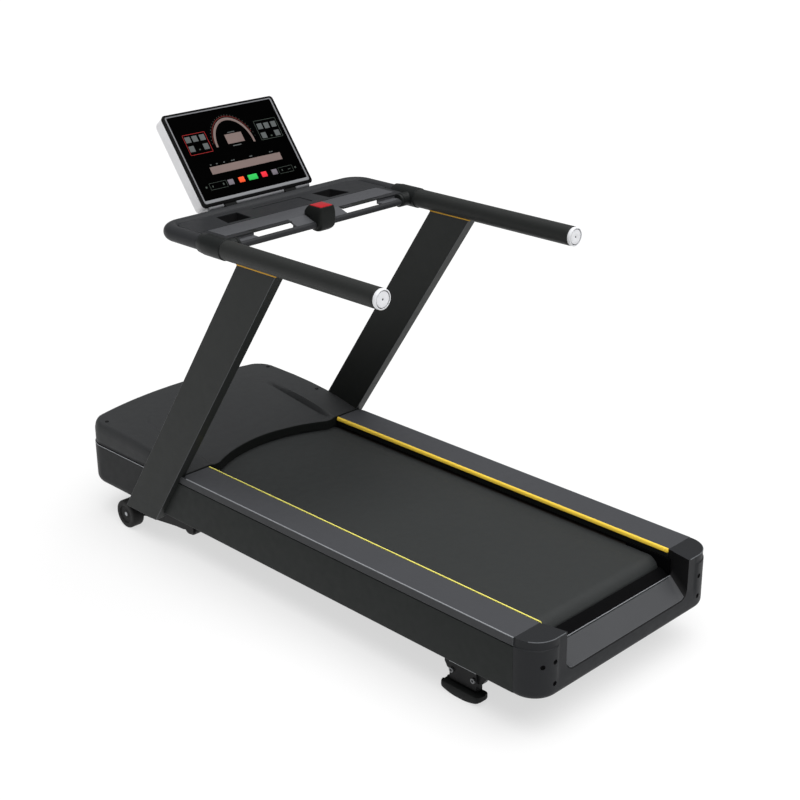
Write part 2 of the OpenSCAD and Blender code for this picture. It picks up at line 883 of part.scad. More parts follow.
module motor_pulley() {
    color("silver") difference() {
        rod_x(drive_x - drive_w / 2, drive_x + drive_w / 2, motor_y, motor_z, motor_pulley_r);
        rod_x(drive_x - drive_w, drive_x + drive_w, motor_y, motor_z, 12);
    }
}

// The drive belt's path round both pulleys, with extra radius c and half width
module drive_path(c, half) {
    span = motor_y - roller_front_y;
    drop = roller_z - motor_z;
    dist = sqrt(span * span + drop * drop);
    tilt = atan2(drop, span);
    r0 = roller_pulley_r + c;
    r1 = motor_pulley_r + c;
    lean = acos((r0 - r1) / dist);
    x0 = drive_x - half;
    x1 = drive_x + half;
    rod_x(x0, x1, roller_front_y, roller_z, r0);
    rod_x(x0, x1, motor_y, motor_z, r1);
    side_extrude(x0, x1) polygon([
        for (s = [-1, 1]) [roller_front_y + r0 * cos(s * lean - tilt), roller_z + r0 * sin(s * lean - tilt)],
        for (s = [1, -1]) [motor_y + r1 * cos(s * lean - tilt), motor_z + r1 * sin(s * lean - tilt)]
    ]);
}

module drive_belt() {
    belt_run = 0.4;
    color("black") difference() {
        drive_path(belt_run + 3, drive_w / 2 - 1);
        drive_path(belt_run, drive_w / 2 + 1);
    }
}

module motor_controller() {
    color([0.4, 0.42, 0.44]) {
        block([60, motor_y - 60, beam_bottom + 6], [240, motor_y + 56, beam_bottom + 14]);
        for (i = [0:8]) {
            block([66 + i * 20, motor_y - 56, beam_bottom + 14], [70 + i * 20, motor_y + 52, beam_bottom + 62]);
        }
    }
}

// ---------- incline ----------

screw_r = 10;
lift_y0 = roller_front_y + 70;
module lift_motor() {
    color([0.28, 0.28, 0.29]) difference() {
        union() {
            rod_y(lift_y0, lift_y0 + 190, lever_x, lever_z, 18);
            rod_x(lever_x - 48, lever_x + 18, lift_y0 + 165, lever_z + 48, 30);
            block([lever_x - 20, lift_y0 + 140, lever_z], [lever_x + 16, lift_y0 + 190, lever_z + 40]);
            block([lever_x - 15, lift_y0 + 60, beam_bottom + 6], [lever_x + 15, lift_y0 + 120, lever_z]);
        }
        rod_y(lift_y0 - 1, lift_y0 + 150, lever_x, lever_z, screw_r + 0.1);
    }
}

module lift_screw() {
    pin_r = 6;
    cheek = 6;
    half = lever_t / 2 + 1;
    yoke = 32;
    color("silver") {
        rod_y(lever_y + yoke, lift_y0 + 65, lever_x, lever_z, screw_r);
        for (s = [-1, 1]) {
            x0 = lever_x + s * half + (s < 0 ? -cheek : 0);
            rod_x(x0, x0 + cheek, lever_y, lever_z, 13);
            block([x0, lever_y, lever_z - 13], [x0 + cheek, lever_y + yoke, lever_z + 13]);
        }
        block([lever_x - half - cheek, lever_y + yoke - 8, lever_z - 13],
              [lever_x + half + cheek, lever_y + yoke, lever_z + 13]);
        rod_x(lever_x - half, lever_x + half, lever_y, lever_z, pin_r);
    }
}

// One side arm of the incline frame, from its pivot to its axle
module lift_arm() {
    difference() {
        union() {
            rod_x(arm_in, arm_out, pivot_y, pivot_z, arm_half);
            rod_x(arm_in, arm_out, axle_y, wheel_r, arm_half);
            side_extrude(arm_in, arm_out) polygon([
                [pivot_y, pivot_z - arm_half], [axle_y, wheel_r - arm_half],
                [axle_y, wheel_r + arm_half], [pivot_y, pivot_z + arm_half]
            ]);
        }
        rod_x(arm_in - 1, arm_out + 1, pivot_y, pivot_z, pivot_r + 0.05);
    }
    rod_x(arm_out, wheel_out - 3, axle_y, wheel_r, axle_r);
}

module lift_frame() {
    brace_y = pivot_y + 190;
    brace_z = pivot_z - 22;
    slot_r = 7;
    slot_low = lever_r - 7;
    slot_high = lever_r + 1;
    color([0.17, 0.17, 0.17]) {
        both_sides() lift_arm();
        rod_x(-arm_in, arm_in, brace_y, brace_z, 14);
        difference() {
            rod_x(-arm_in, arm_in, pivot_y, pivot_z, 16);
            both_sides() rod_x(arm_in - 12, arm_in + 1, pivot_y, pivot_z, pivot_r + 0.05);
        }
        translate([0, pivot_y, pivot_z]) rotate([lever_angle - 90, 0, 0]) difference() {
            union() {
                block([lever_x - lever_t / 2, -15, 0], [lever_x + lever_t / 2, 15, lever_r]);
                rod_x(lever_x - lever_t / 2, lever_x + lever_t / 2, 0, lever_r, 15);
            }
            rod_x(lever_x - lever_t, lever_x + lever_t, 0, slot_low, slot_r);
            rod_x(lever_x - lever_t, lever_x + lever_t, 0, slot_high, slot_r);
            block([lever_x - lever_t, -slot_r, slot_low], [lever_x + lever_t, slot_r, slot_high]);
        }
    }
}

module pivot_brackets() {
    plate_t = 6;
    play = 1;
    color("dimgray") both_sides() {
        for (x = [arm_out + play]) {
            rod_x(x, x + plate_t, pivot_y, pivot_z, 22);
            block([x, pivot_y - 22, pivot_z], [x + plate_t, pivot_y + 22, beam_bottom]);
        }
        rod_x(arm_in - 10, arm_out + play, pivot_y, pivot_z, pivot_r);
    }
}

module wheel(side) {
    color([0.17, 0.17, 0.17]) on_side(side) difference() {
        union() {
            rod_x(wheel_out - wheel_w + 4, wheel_out - 4, axle_y, wheel_r, wheel_r);
            rod_x(wheel_out - wheel_w, wheel_out, axle_y, wheel_r, wheel_r - 4);
        }
        rod_x(wheel_out - wheel_w - 1, wheel_out + 1, axle_y, wheel_r, axle_r + 0.05);
        rod_x(wheel_out - 3, wheel_out + 1, axle_y, wheel_r, 30);
    }
}

// ---------- power inlet ----------

inlet_x = 250;
switch_x = 300;
port_z = 165;
port_y = front_y - 60;
module inlet_room(c) {
    block([inlet_x - 24 - c, port_y - 40, port_z - 14 - c], [inlet_x + 24 + c, front_y + 5, port_z + 14 + c]);
}

module switch_room(c) {
    block([switch_x - 11 - c, port_y - 40, port_z - 15 - c], [switch_x + 11 + c, front_y + 5, port_z + 15 + c]);
}

nose_lip = 3;
function nose_y(x) = front_y - nose_r + sqrt(nose_r * nose_r - x * x);
rocker_tip = 6;
rocker_pin_r = 2;
rocker_y = nose_y(switch_x) - 7;
module power_inlet() {
    face = nose_y(inlet_x) + nose_lip;
    color([0.1, 0.1, 0.1]) {
        difference() {
            block([inlet_x - 24, face - 38, port_z - 14], [inlet_x + 24, face, port_z + 14]);
            block([inlet_x - 12, face - 20, port_z - 9], [inlet_x + 12, face + 1, port_z + 9]);
        }
        for (dx = [-7, 0, 7]) {
            block([inlet_x + dx - 1, face - 20, port_z - 3], [inlet_x + dx + 1, face - 6, port_z + 3]);
        }
    }
    body_face = nose_y(switch_x) - 1;
    color([0.1, 0.1, 0.1]) difference() {
        block([switch_x - 11, body_face - 34, port_z - 15], [switch_x + 11, body_face, port_z + 15]);
        block([switch_x - 8, body_face - 16, port_z - 13], [switch_x + 8, body_face + 1, port_z + 13]);
        rod_x(switch_x - 10, switch_x + 10, rocker_y, port_z, rocker_pin_r + 0.05);
    }
}

// The rocker is drawn about its pivot and rests tipped to one side
module power_switch() {
    color("red") translate([switch_x, rocker_y, port_z]) {
        rotate([-rocker_tip, 0, 0]) side_extrude(-7.6, 7.6)
            polygon([[-5, -4], [1, -10], [7, -10.5], [5, 0], [7, 10.5], [1, 10], [-5, 4]]);
        rod_x(-9.5, 9.5, 0, 0, rocker_pin_r);
    }
}

// ---------- nodes ----------

frame_beams();
motor_base();
deck_board();
deck_cushions();
running_belt();
bearing_blocks();
roller_tensioners();
foot_rail(-1);  // foot_rail_left
foot_rail(1);  // foot_rail_right
accent_strips();
side_panel(-1);  // side_panel_left
side_panel(1);  // side_panel_right
rear_cap();
cap_screws();
foot_brackets();
foot_bolts();
foot_pads();
hood_upper();
hood_lower();
hood_screws();
belly_pan();
upright(-1);  // upright_left
upright(1);  // upright_right
upright_trims();
rail_tees();
handrail_tubes();
hand_grips();
end_caps();
crossbar();
stop_housing();
tray_rim();
tray();
hinge_base();
drive_motor();
drive_belt();
motor_controller();
lift_motor();
pivot_brackets();
power_inlet();
front_roller();
roller_pulley();
rear_roller();
motor_shaft();
flywheel();
motor_pulley();
lift_frame();
wheel(-1);  // wheel_left
wheel(1);  // wheel_right
lift_screw();
stop_button();
console_shell();
console_bezel();
console_glass();
console_board();
key_slower();
key_stop();
key_start();
key_pause();
key_faster();
power_switch();
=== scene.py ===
"""Visual model of the treadmill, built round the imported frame. Lengths are in millimetres until mesh time."""
from math import asin, cos, hypot, pi, radians, sin, sqrt

import bmesh
import bpy
import numpy as np
from mathutils import Matrix, Vector


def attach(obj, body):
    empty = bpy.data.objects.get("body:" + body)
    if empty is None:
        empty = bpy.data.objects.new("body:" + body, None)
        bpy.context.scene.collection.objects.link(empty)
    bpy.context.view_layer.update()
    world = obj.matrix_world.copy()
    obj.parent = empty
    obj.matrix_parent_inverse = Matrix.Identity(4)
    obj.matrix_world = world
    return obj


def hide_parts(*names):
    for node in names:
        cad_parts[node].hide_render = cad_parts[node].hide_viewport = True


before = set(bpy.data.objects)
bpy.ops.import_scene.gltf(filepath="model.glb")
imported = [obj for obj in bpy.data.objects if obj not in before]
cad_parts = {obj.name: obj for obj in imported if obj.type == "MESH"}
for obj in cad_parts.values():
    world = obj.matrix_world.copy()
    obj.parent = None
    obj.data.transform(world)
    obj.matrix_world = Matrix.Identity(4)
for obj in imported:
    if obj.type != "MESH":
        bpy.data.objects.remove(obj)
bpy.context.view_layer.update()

MM = 0.001
BASE = "base"
REAR, FRONT, SEAM = -1030.0, 1030.0, -945.0
RAIL = 288.0
HALF = 391.0
GRIP_Z, GRIP_X = 1099.0, 393.0
TRAY_TOP = RAIL + 828

# ------------------------------------------------------------------ camera


def set_camera():
    yaw, pitch, roll = radians(44.8), radians(-22.4), radians(-0.5)
    ahead = Vector((sin(yaw) * cos(pitch), cos(yaw) * cos(pitch), sin(pitch)))
    right = Vector((cos(yaw), -sin(yaw), 0))
    up = right.cross(ahead)
    side = right * cos(roll) + up * sin(roll)
    top = up * cos(roll) - right * sin(roll)
    cam = bpy.data.cameras.new("camera")
    cam.sensor_width = 36
    cam.lens = 68.85
    cam.clip_end = 200
    ob = bpy.data.objects.new("camera", cam)
    bpy.context.collection.objects.link(ob)
    m = Matrix((side, top, -ahead)).transposed().to_4x4()
    m.translation = Vector((-3.0005, -3.1654, 2.3613))
    ob.matrix_world = m
    bpy.context.scene.camera = ob


set_camera()

# ------------------------------------------------------------------ materials


def lin(rgb):
    """An sRGB colour from 0 to 255 as linear values."""
    out = []
    for c in rgb:
        c = c / 255
        out.append(c / 12.92 if c <= 0.04045 else ((c + 0.055) / 1.055) ** 2.4)
    return tuple(out) + (1.0,)


def put(node, **values):
    """Set a node's inputs by name, with underscores for the spaces in the names."""
    for key, value in values.items():
        node.inputs[key.replace("_", " ")].default_value = value


def material(name, rgb, rough=0.5, metallic=0.0, spec=0.12, grain=900.0, bump=0.15, mottle=0.02,
             rough_span=0.04, coat=0.0, pattern="noise", depth=0.0002, sheen=0.0):
    """A procedural material: colour drifts slowly, roughness and bump follow a fine grain."""
    mat = bpy.data.materials.new(name)
    mat.use_nodes = True
    nt = mat.node_tree
    nodes, links = nt.nodes, nt.links
    nodes.clear()
    out = nodes.new("ShaderNodeOutputMaterial")
    bsdf = nodes.new("ShaderNodeBsdfPrincipled")
    links.new(bsdf.outputs[0], out.inputs[0])
    put(bsdf, Metallic=metallic, Specular_IOR_Level=spec, Coat_Weight=coat, Sheen_Weight=sheen)
    place = nodes.new("ShaderNodeTexCoord")
    slow = nodes.new("ShaderNodeTexNoise")
    put(slow, Scale=7.0, Detail=5.0)
    links.new(place.outputs["Object"], slow.inputs["Vector"])
    ramp = nodes.new("ShaderNodeValToRGB")
    base = lin(rgb)
    ramp.color_ramp.elements[0].position = 0.3
    ramp.color_ramp.elements[1].position = 0.72
    ramp.color_ramp.elements[0].color = tuple(c * (1 - mottle) for c in base[:3]) + (1,)
    ramp.color_ramp.elements[1].color = tuple(min(1, c * (1 + mottle)) for c in base[:3]) + (1,)
    links.new(slow.outputs["Fac"], ramp.inputs["Fac"])
    links.new(ramp.outputs["Color"], bsdf.inputs["Base Color"])
    if pattern == "weave":
        fine = nodes.new("ShaderNodeTexBrick")
        put(fine, Scale=grain, Mortar_Size=0.12, Color1=(1, 1, 1, 1), Color2=(0.8, 0.8, 0.8, 1),
            Mortar=(0, 0, 0, 1))
        links.new(place.outputs["Object"], fine.inputs["Vector"])
        height = fine.outputs["Color"]
    elif pattern == "brushed":
        stretch = nodes.new("ShaderNodeMapping")
        put(stretch, Scale=(40, 1, 1))
        links.new(place.outputs["Object"], stretch.inputs["Vector"])
        fine = nodes.new("ShaderNodeTexNoise")
        put(fine, Scale=grain)
        links.new(stretch.outputs["Vector"], fine.inputs["Vector"])
        height = fine.outputs["Fac"]
    else:
        fine = nodes.new("ShaderNodeTexNoise")
        put(fine, Scale=grain, Detail=3.0)
        links.new(place.outputs["Object"], fine.inputs["Vector"])
        height = fine.outputs["Fac"]
    wear = nodes.new("ShaderNodeTexNoise")
    put(wear, Scale=38.0, Detail=8.0)
    links.new(place.outputs["Object"], wear.inputs["Vector"])
    span = nodes.new("ShaderNodeMapRange")
    put(span, From_Min=0.3, From_Max=0.7, To_Min=max(0.02, rough - rough_span),
        To_Max=min(1.0, rough + rough_span))
    links.new(wear.outputs["Fac"], span.inputs["Value"])
    links.new(span.outputs[0], bsdf.inputs["Roughness"])
    bump_node = nodes.new("ShaderNodeBump")
    put(bump_node, Strength=bump, Distance=depth)
    links.new(height, bump_node.inputs["Height"])
    links.new(bump_node.outputs[0], bsdf.inputs["Normal"])
    return mat


MATS = {
    "belt": material("belt_rubber", (45, 47, 47), 0.62, spec=0.2, grain=420, bump=0.35, pattern="weave",
                     depth=0.0003),
    "rail": material("rail_plastic", (67, 68, 71), 0.55, grain=1100, bump=0.25),
    "rail_edge": material("rail_edge_plastic", (60, 61, 63), 0.5, grain=1100, bump=0.2),
    "panel": material("panel_paint", (29, 32, 31), 0.5, grain=700, bump=0.1),
    "cap": material("cap_plastic", (38, 39, 41), 0.5, grain=1000, bump=0.25),
    "scoop": material("scoop_plastic", (68, 69, 71), 0.5, grain=1000, bump=0.25),
    "cover": material("cover_plastic", (52, 53, 54), 0.5, grain=1000, bump=0.25),
    "cover_low": material("cover_low_plastic", (33, 34, 35), 0.5, grain=1000, bump=0.25),
    "upright": material("upright_paint", (39, 41, 40), 0.42, grain=1300, bump=0.2),
    "grip": material("grip_rubber", (29, 31, 30), 0.5, spec=0.18, grain=1500, bump=0.4, depth=0.0003,
                     sheen=0.1),
    "fitting": material("fitting_plastic", (30, 32, 32), 0.42, grain=1100, bump=0.2),
    "rim": material("rim_plastic", (46, 47, 49), 0.45, grain=1100, bump=0.2),
    "tray": material("tray_plastic", (41, 42, 44), 0.5, grain=1000, bump=0.25),
    "band": material("band_plastic", (73, 74, 77), 0.5, grain=1000, bump=0.2),
    "bar": material("bar_plastic", (80, 81, 84), 0.42, grain=1100, bump=0.15),
    "black": material("black_plastic", (27, 29, 28), 0.45, grain=1000, bump=0.2),
    # near black: the dark strip in the cover's joint, and the plates behind the belt that are painted shade
    "void": material("black_joint_and_painted_shade_plastic", (8, 8, 9), 0.7, spec=0.03, grain=800, bump=0.1),
    # near black for the tray pockets: painted shade in the recesses
    "dark": material("pocket_painted_shade", (20, 20, 21), 0.7, grain=800, bump=0.1),
    # the accent strips are one yellow part: the far one's yellow is pushed bright as painted light, the paler
    # near copy below is a painted highlight
    "yellow": material("yellow_plastic", (255, 214, 70), 0.35, spec=0.5, grain=900, bump=0.08, mottle=0.03),
    "painted_highlight_yellow": material("painted_highlight_yellow_plastic", (248, 238, 120), 0.4, grain=900, bump=0.08, mottle=0.03),
    # light grey for thin beads along edges: a painted highlight
    "highlight_bright": material("painted_highlight_edge_plastic", (150, 152, 156), 0.45, grain=1000, bump=0.1),
    # lighter grey for the cap's rounds and top beads: a painted highlight
    "cap_highlight_edge": material("cap_highlight_edge_plastic", (92, 94, 97), 0.45, grain=1000, bump=0.1),
    # mid grey for rounds on the rails, posts and scoop, and for the scoop lip: a painted highlight
    "highlight_mid": material("painted_highlight_mid_plastic", (84, 86, 88), 0.45, grain=1000, bump=0.1),
    # near black for the cap's inner walls and screw holes: painted shade in the recesses
    "cap_recess_shade": material("cap_recess_shade_plastic", (21, 21, 22), 0.6, grain=900, bump=0.15),
    "orange": material("orange_plastic", (206, 156, 48), 0.4, grain=900, bump=0.08, mottle=0.05),
    "red": material("red_plastic", (168, 26, 35), 0.35, grain=900, bump=0.08, mottle=0.06),
    "white": material("white_plastic", (232, 233, 236), 0.25, grain=900, bump=0.05, mottle=0.02, coat=0.3),
    "shell": material("shell_paint", (236, 236, 238), 0.42, grain=1200, bump=0.06, mottle=0.03),
    "bezel": material("bezel_plastic", (124, 125, 128), 0.4, grain=1200, bump=0.1),
    "bezel_rim": material("bezel_rim_plastic", (9, 9, 10), 0.5, spec=0.05, grain=1200, bump=0.08),
    "hinge": material("hinge_plastic", (118, 119, 122), 0.4, grain=1200, bump=0.1),
    "knuckle": material("knuckle_plastic", (13, 14, 14), 0.5, spec=0.05, grain=1200, bump=0.1),
    "glass": material("panel_glass", (1, 1, 1), 0.25, spec=0.003, grain=60, bump=0.01, mottle=0.3,
                      rough_span=0.05),
    "pad": material("pad_rubber", (30, 31, 31), 0.6, grain=800, bump=0.4, depth=0.0003),
    "wheel": material("wheel_rubber", (33, 33, 33), 0.55, grain=800, bump=0.3),
    "steel_black": material("black_steel", (27, 27, 28), 0.4, grain=900, bump=0.15),
    "zinc": material("zinc_steel", (165, 167, 170), 0.32, metallic=1.0, grain=500, bump=0.1,
                     pattern="brushed"),
    "steel": material("turned_steel", (150, 150, 153), 0.3, metallic=1.0, grain=400, bump=0.12,
                      pattern="brushed"),
    "alloy": material("cast_alloy", (160, 160, 162), 0.42, metallic=1.0, grain=500, bump=0.2),
    "iron": material("flywheel_iron", (90, 90, 92), 0.5, metallic=0.9, grain=300, bump=0.25),
    "ply": material("deck_ply", (34, 30, 27), 0.45, grain=140, bump=0.2, mottle=0.15, pattern="brushed"),
    "rubber": material("black_rubber", (30, 30, 31), 0.7, grain=700, bump=0.35),
    "motor": material("motor_paint", (70, 73, 76), 0.4, grain=900, bump=0.15),
    "sink": material("heat_sink_alloy", (165, 167, 170), 0.4, metallic=1.0, grain=500, bump=0.15),
    "circuit": material("circuit_board", (30, 88, 52), 0.4, grain=260, bump=0.4, mottle=0.3, depth=0.0005),
    "bolt": material("dull_zinc", (118, 119, 121), 0.45, metallic=0.9, grain=500, bump=0.1,
                     pattern="brushed"),
    # black for the screws, and for the end caps' groove ring and centre disc, which are painted shade
    "screw": material("black_screw", (9, 9, 10), 0.5, spec=0.05, grain=700, bump=0.15),
}

# ------------------------------------------------------------------ mesh helpers


def finish_mesh(name, me, mat, body, slot, bevel=0.0, segments=3, sharp=35.0, bevel_angle=30.0, edge=None):
    """Put a mesh in the scene as a piece: outward normals, soft shading, an optional rounded edge in a lighter
    material, which is a painted highlight.
    """
    bm = bmesh.new()
    bm.from_mesh(me)
    bmesh.ops.remove_doubles(bm, verts=bm.verts, dist=1e-6)
    bmesh.ops.recalc_face_normals(bm, faces=bm.faces)
    bm.to_mesh(me)
    bm.free()
    me.materials.clear()
    me.materials.append(MATS[mat])
    me.polygons.foreach_set("use_smooth", [True] * len(me.polygons))
    me.set_sharp_from_angle(angle=radians(sharp))
    ob = bpy.data.objects.new(name, me)
    bpy.context.collection.objects.link(ob)
    if bevel:
        mod = ob.modifiers.new("edge", "BEVEL")
        mod.width = bevel * MM
        mod.segments = segments
        mod.limit_method = "ANGLE"
        mod.angle_limit = radians(bevel_angle)
        mod.harden_normals = True
        if edge:
            me.materials.append(MATS[edge])
            mod.material = len(me.materials) - 1
    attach(ob, body)
    return ob


def raw_mesh(name, verts, faces):
    me = bpy.data.meshes.new(name)
    me.from_pydata([tuple(c * MM for c in v) for v in verts], [], faces)
    me.update()
    return me


def loft(name, rings, mat, body=BASE, slot=None, caps=True, closed=True, loop=False, **kw):
    """Skin a list of rings that have the same number of points."""
    n = len(rings[0])
    verts = [p for r in rings for p in r]
    faces = []
    rows = len(rings) if loop else len(rings) - 1
    for i in range(rows):
        a, b = i * n, ((i + 1) % len(rings)) * n
        for j in range(n if closed else n - 1):
            k = (j + 1) % n
            faces.append((a + j, a + k, b + k, b + j))
    if caps and not loop:
        faces.append(tuple(range(n - 1, -1, -1)))
        faces.append(tuple(range((len(rings) - 1) * n, len(rings) * n)))
    return finish_mesh(name, raw_mesh(name, verts, faces), mat, body, slot, **kw)


def prism(name, outline, axis, low, high, mat, body=BASE, slot=None, **kw):
    """Extrude a flat outline along an axis. Outline points are the other two coordinates in order."""
    def place(p, t):
        return {"x": (t, p[0], p[1]), "y": (p[0], t, p[1]), "z": (p[0], p[1], t)}[axis]
    rings = [[place(p, low) for p in outline], [place(p, high) for p in outline]]
    return loft(name, rings, mat, body, slot, **kw)


def box(name, lo, hi, mat, body=BASE, slot=None, **kw):
    outline = [(lo[0], lo[1]), (hi[0], lo[1]), (hi[0], hi[1]), (lo[0], hi[1])]
    return prism(name, outline, "z", lo[2], hi[2], mat, body, slot, **kw)


def circle(c, r, n=48, a0=0.0, a1=360.0, ends=False):
    steps = n + 1 if ends else n
    return [(c[0] + r * cos(radians(a0 + (a1 - a0) * i / n)), c[1] + r * sin(radians(a0 + (a1 - a0) * i / n)))
            for i in range(steps)]


def lathe(name, profile, axis, centre, mat, body=BASE, slot=None, n=64, **kw):
    """Turn a profile of (distance along the axis, radius) about the axis through centre."""
    rings = []
    for a, r in profile:
        ring = []
        for j in range(n):
            t = 2 * pi * j / n
            u, v = r * cos(t), r * sin(t)
            if axis == "x":
                ring.append((a, centre[0] + u, centre[1] + v))
            elif axis == "y":
                ring.append((centre[0] + u, a, centre[1] + v))
            else:
                ring.append((centre[0] + u, centre[1] + v, a))
        rings.append(ring)
    return loft(name, rings, mat, body, slot, **kw)


def round_outline(x0, y0, x1, y1, r, n=8):
    pts = []
    for cx, cy, a in ((x1 - r, y1 - r, 0), (x0 + r, y1 - r, 90), (x0 + r, y0 + r, 180),
                      (x1 - r, y0 + r, 270)):
        pts += circle((cx, cy), r, n, a, a + 90, ends=True)
    return pts


def applied(ob):
    """Freeze an object's modifiers into its mesh."""
    dg = bpy.context.evaluated_depsgraph_get()
    me = bpy.data.meshes.new_from_object(ob.evaluated_get(dg))
    ob.modifiers.clear()
    old = ob.data
    ob.data = me
    bpy.data.meshes.remove(old)
    return ob


def cut(ob, cutters):
    """Take the cutters away from a piece, and take them out of the scene."""
    for c in cutters:
        mod = ob.modifiers.new("cut", "BOOLEAN")
        mod.operation = "DIFFERENCE"
        mod.solver = "EXACT"
        mod.material_mode = "TRANSFER"
        mod.object = c
    applied(ob)
    for c in cutters:
        bpy.data.objects.remove(c)
    ob.data.polygons.foreach_set("use_smooth", [True] * len(ob.data.polygons))
    ob.data.set_sharp_from_angle(angle=radians(32))
    return ob


def soften(ob, width, segments=2, angle=35.0, edge=None):
    """Round the sharp edges of a cut piece; an optional lighter material on the rounds is a painted highlight.
    """
    mod = ob.modifiers.new("edge", "BEVEL")
    mod.width = width * MM
    mod.segments = segments
    mod.limit_method = "ANGLE"
    mod.angle_limit = radians(angle)
    mod.harden_normals = True
    if edge:
        ob.data.materials.append(MATS[edge])
        mod.material = len(ob.data.materials) - 1
    return ob


def ring_cutter(name, rings):
    """A closed body through a list of rings, for cut()."""
    n = len(rings[0])
    verts = [p for r in rings for p in r]
    faces = [tuple(range(n - 1, -1, -1)), tuple(range((len(rings) - 1) * n, len(rings) * n))]
    for i in range(len(rings) - 1):
        for j in range(n):
            k = (j + 1) % n
            faces.append((i * n + j, i * n + k, (i + 1) * n + k, (i + 1) * n + j))
    me = raw_mesh(name, verts, faces)
    bm = bmesh.new()
    bm.from_mesh(me)
    bmesh.ops.recalc_face_normals(bm, faces=bm.faces)
    bm.to_mesh(me)
    bm.free()
    ob = bpy.data.objects.new(name, me)
    bpy.context.collection.objects.link(ob)
    return ob


def both_levels(outline, low, high):
    """The same outline at two heights, as rings for ring_cutter()."""
    return [[(x, y, z) for x, y in outline] for z in (low, high)]


def smooth_step(t):
    t = min(1.0, max(0.0, t))
    return t * t * (3 - 2 * t)


SIDES = (("left", -1), ("right", 1))

# ------------------------------------------------------------------ CAD nodes that keep their shape

KEEP = {
    "frame_beams": "steel_black", "motor_base": "steel_black", "deck_board": "ply", "deck_cushions": "rubber",
    "bearing_blocks": "steel_black", "roller_tensioners": "zinc", "belly_pan": "steel_black",
    "handrail_tubes": "steel", "drive_motor": "motor", "drive_belt": "rubber", "motor_controller": "sink",
    "lift_motor": "motor", "pivot_brackets": "steel_black", "power_inlet": "black", "front_roller": "steel",
    "roller_pulley": "alloy", "motor_shaft": "steel", "flywheel": "iron", "motor_pulley": "alloy",
    "lift_screw": "zinc", "console_board": "circuit", "power_switch": "red", "upright_trims": "orange",
}
for node, mat in KEEP.items():
    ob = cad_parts[node]
    ob.data.materials.clear()
    ob.data.materials.append(MATS[mat])

# ------------------------------------------------------------------ running belt


def roller_fall(x):
    """How far the rear roller and the belt on it drop towards their ends."""
    return 2.0 * smooth_step((abs(x) - 244) / 32)


def running_belt():
    y0, y1, zc, r, t = -883.0, 615.0, 215.5, 36.0, 2.5
    path = []
    n_arc, n_run = 28, 40
    for i in range(n_run + 1):
        path.append((y0 + (y1 - y0) * i / n_run, zc + r, 0.0, 1.0))
    for i in range(1, n_arc):
        a = pi / 2 - pi * i / n_arc
        path.append((y1 + r * cos(a), zc + r * sin(a), cos(a), sin(a)))
    for i in range(n_run + 1):
        path.append((y1 + (y0 - y1) * i / n_run, zc - r, 0.0, -1.0))
    for i in range(1, n_arc):
        a = -pi / 2 - pi * i / n_arc
        path.append((y0 + r * cos(a), zc + r * sin(a), cos(a), sin(a)))
    half = 274.0
    section = [(-half, 0.0), (-half, t - 1.0), (-half + 0.4, t - 0.3), (-half + 1.2, t)]
    section += [(-half + 1.2 + (2 * half - 2.4) * i / 8, t) for i in range(1, 8)]
    section += [(half - 1.2, t), (half - 0.4, t - 0.3), (half, t - 1.0), (half, 0.0)]
    rings = []
    for y, z, ny, nz in path:
        ring = []
        for x, h in section:
            k = h - roller_fall(x) * max(0.0, -ny)
            ring.append((x, y + ny * k, z + nz * k))
        rings.append(ring)
    ob = loft("running_belt_loop", rings, "belt", slot="belt_pvc", loop=True)
    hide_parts("running_belt")
    # the crowned rear roller
    drum = 272.5
    prof = [(-363.0, 9.0), (-362.0, 10.0), (-drum, 10.0)]
    prof += [(x, 35.5 - roller_fall(x)) for x in np.linspace(-drum, drum, 41)]
    prof += [(drum, 10.0), (362.0, 10.0), (363.0, 9.0)]
    ob = lathe("rear_roller_turned", prof, "x", (y0, zc), "steel", "rear_roller_set", "roller_steel",
               sharp=40)
    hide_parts("rear_roller")


running_belt()

# ------------------------------------------------------------------ foot rails, edges, strips, panels


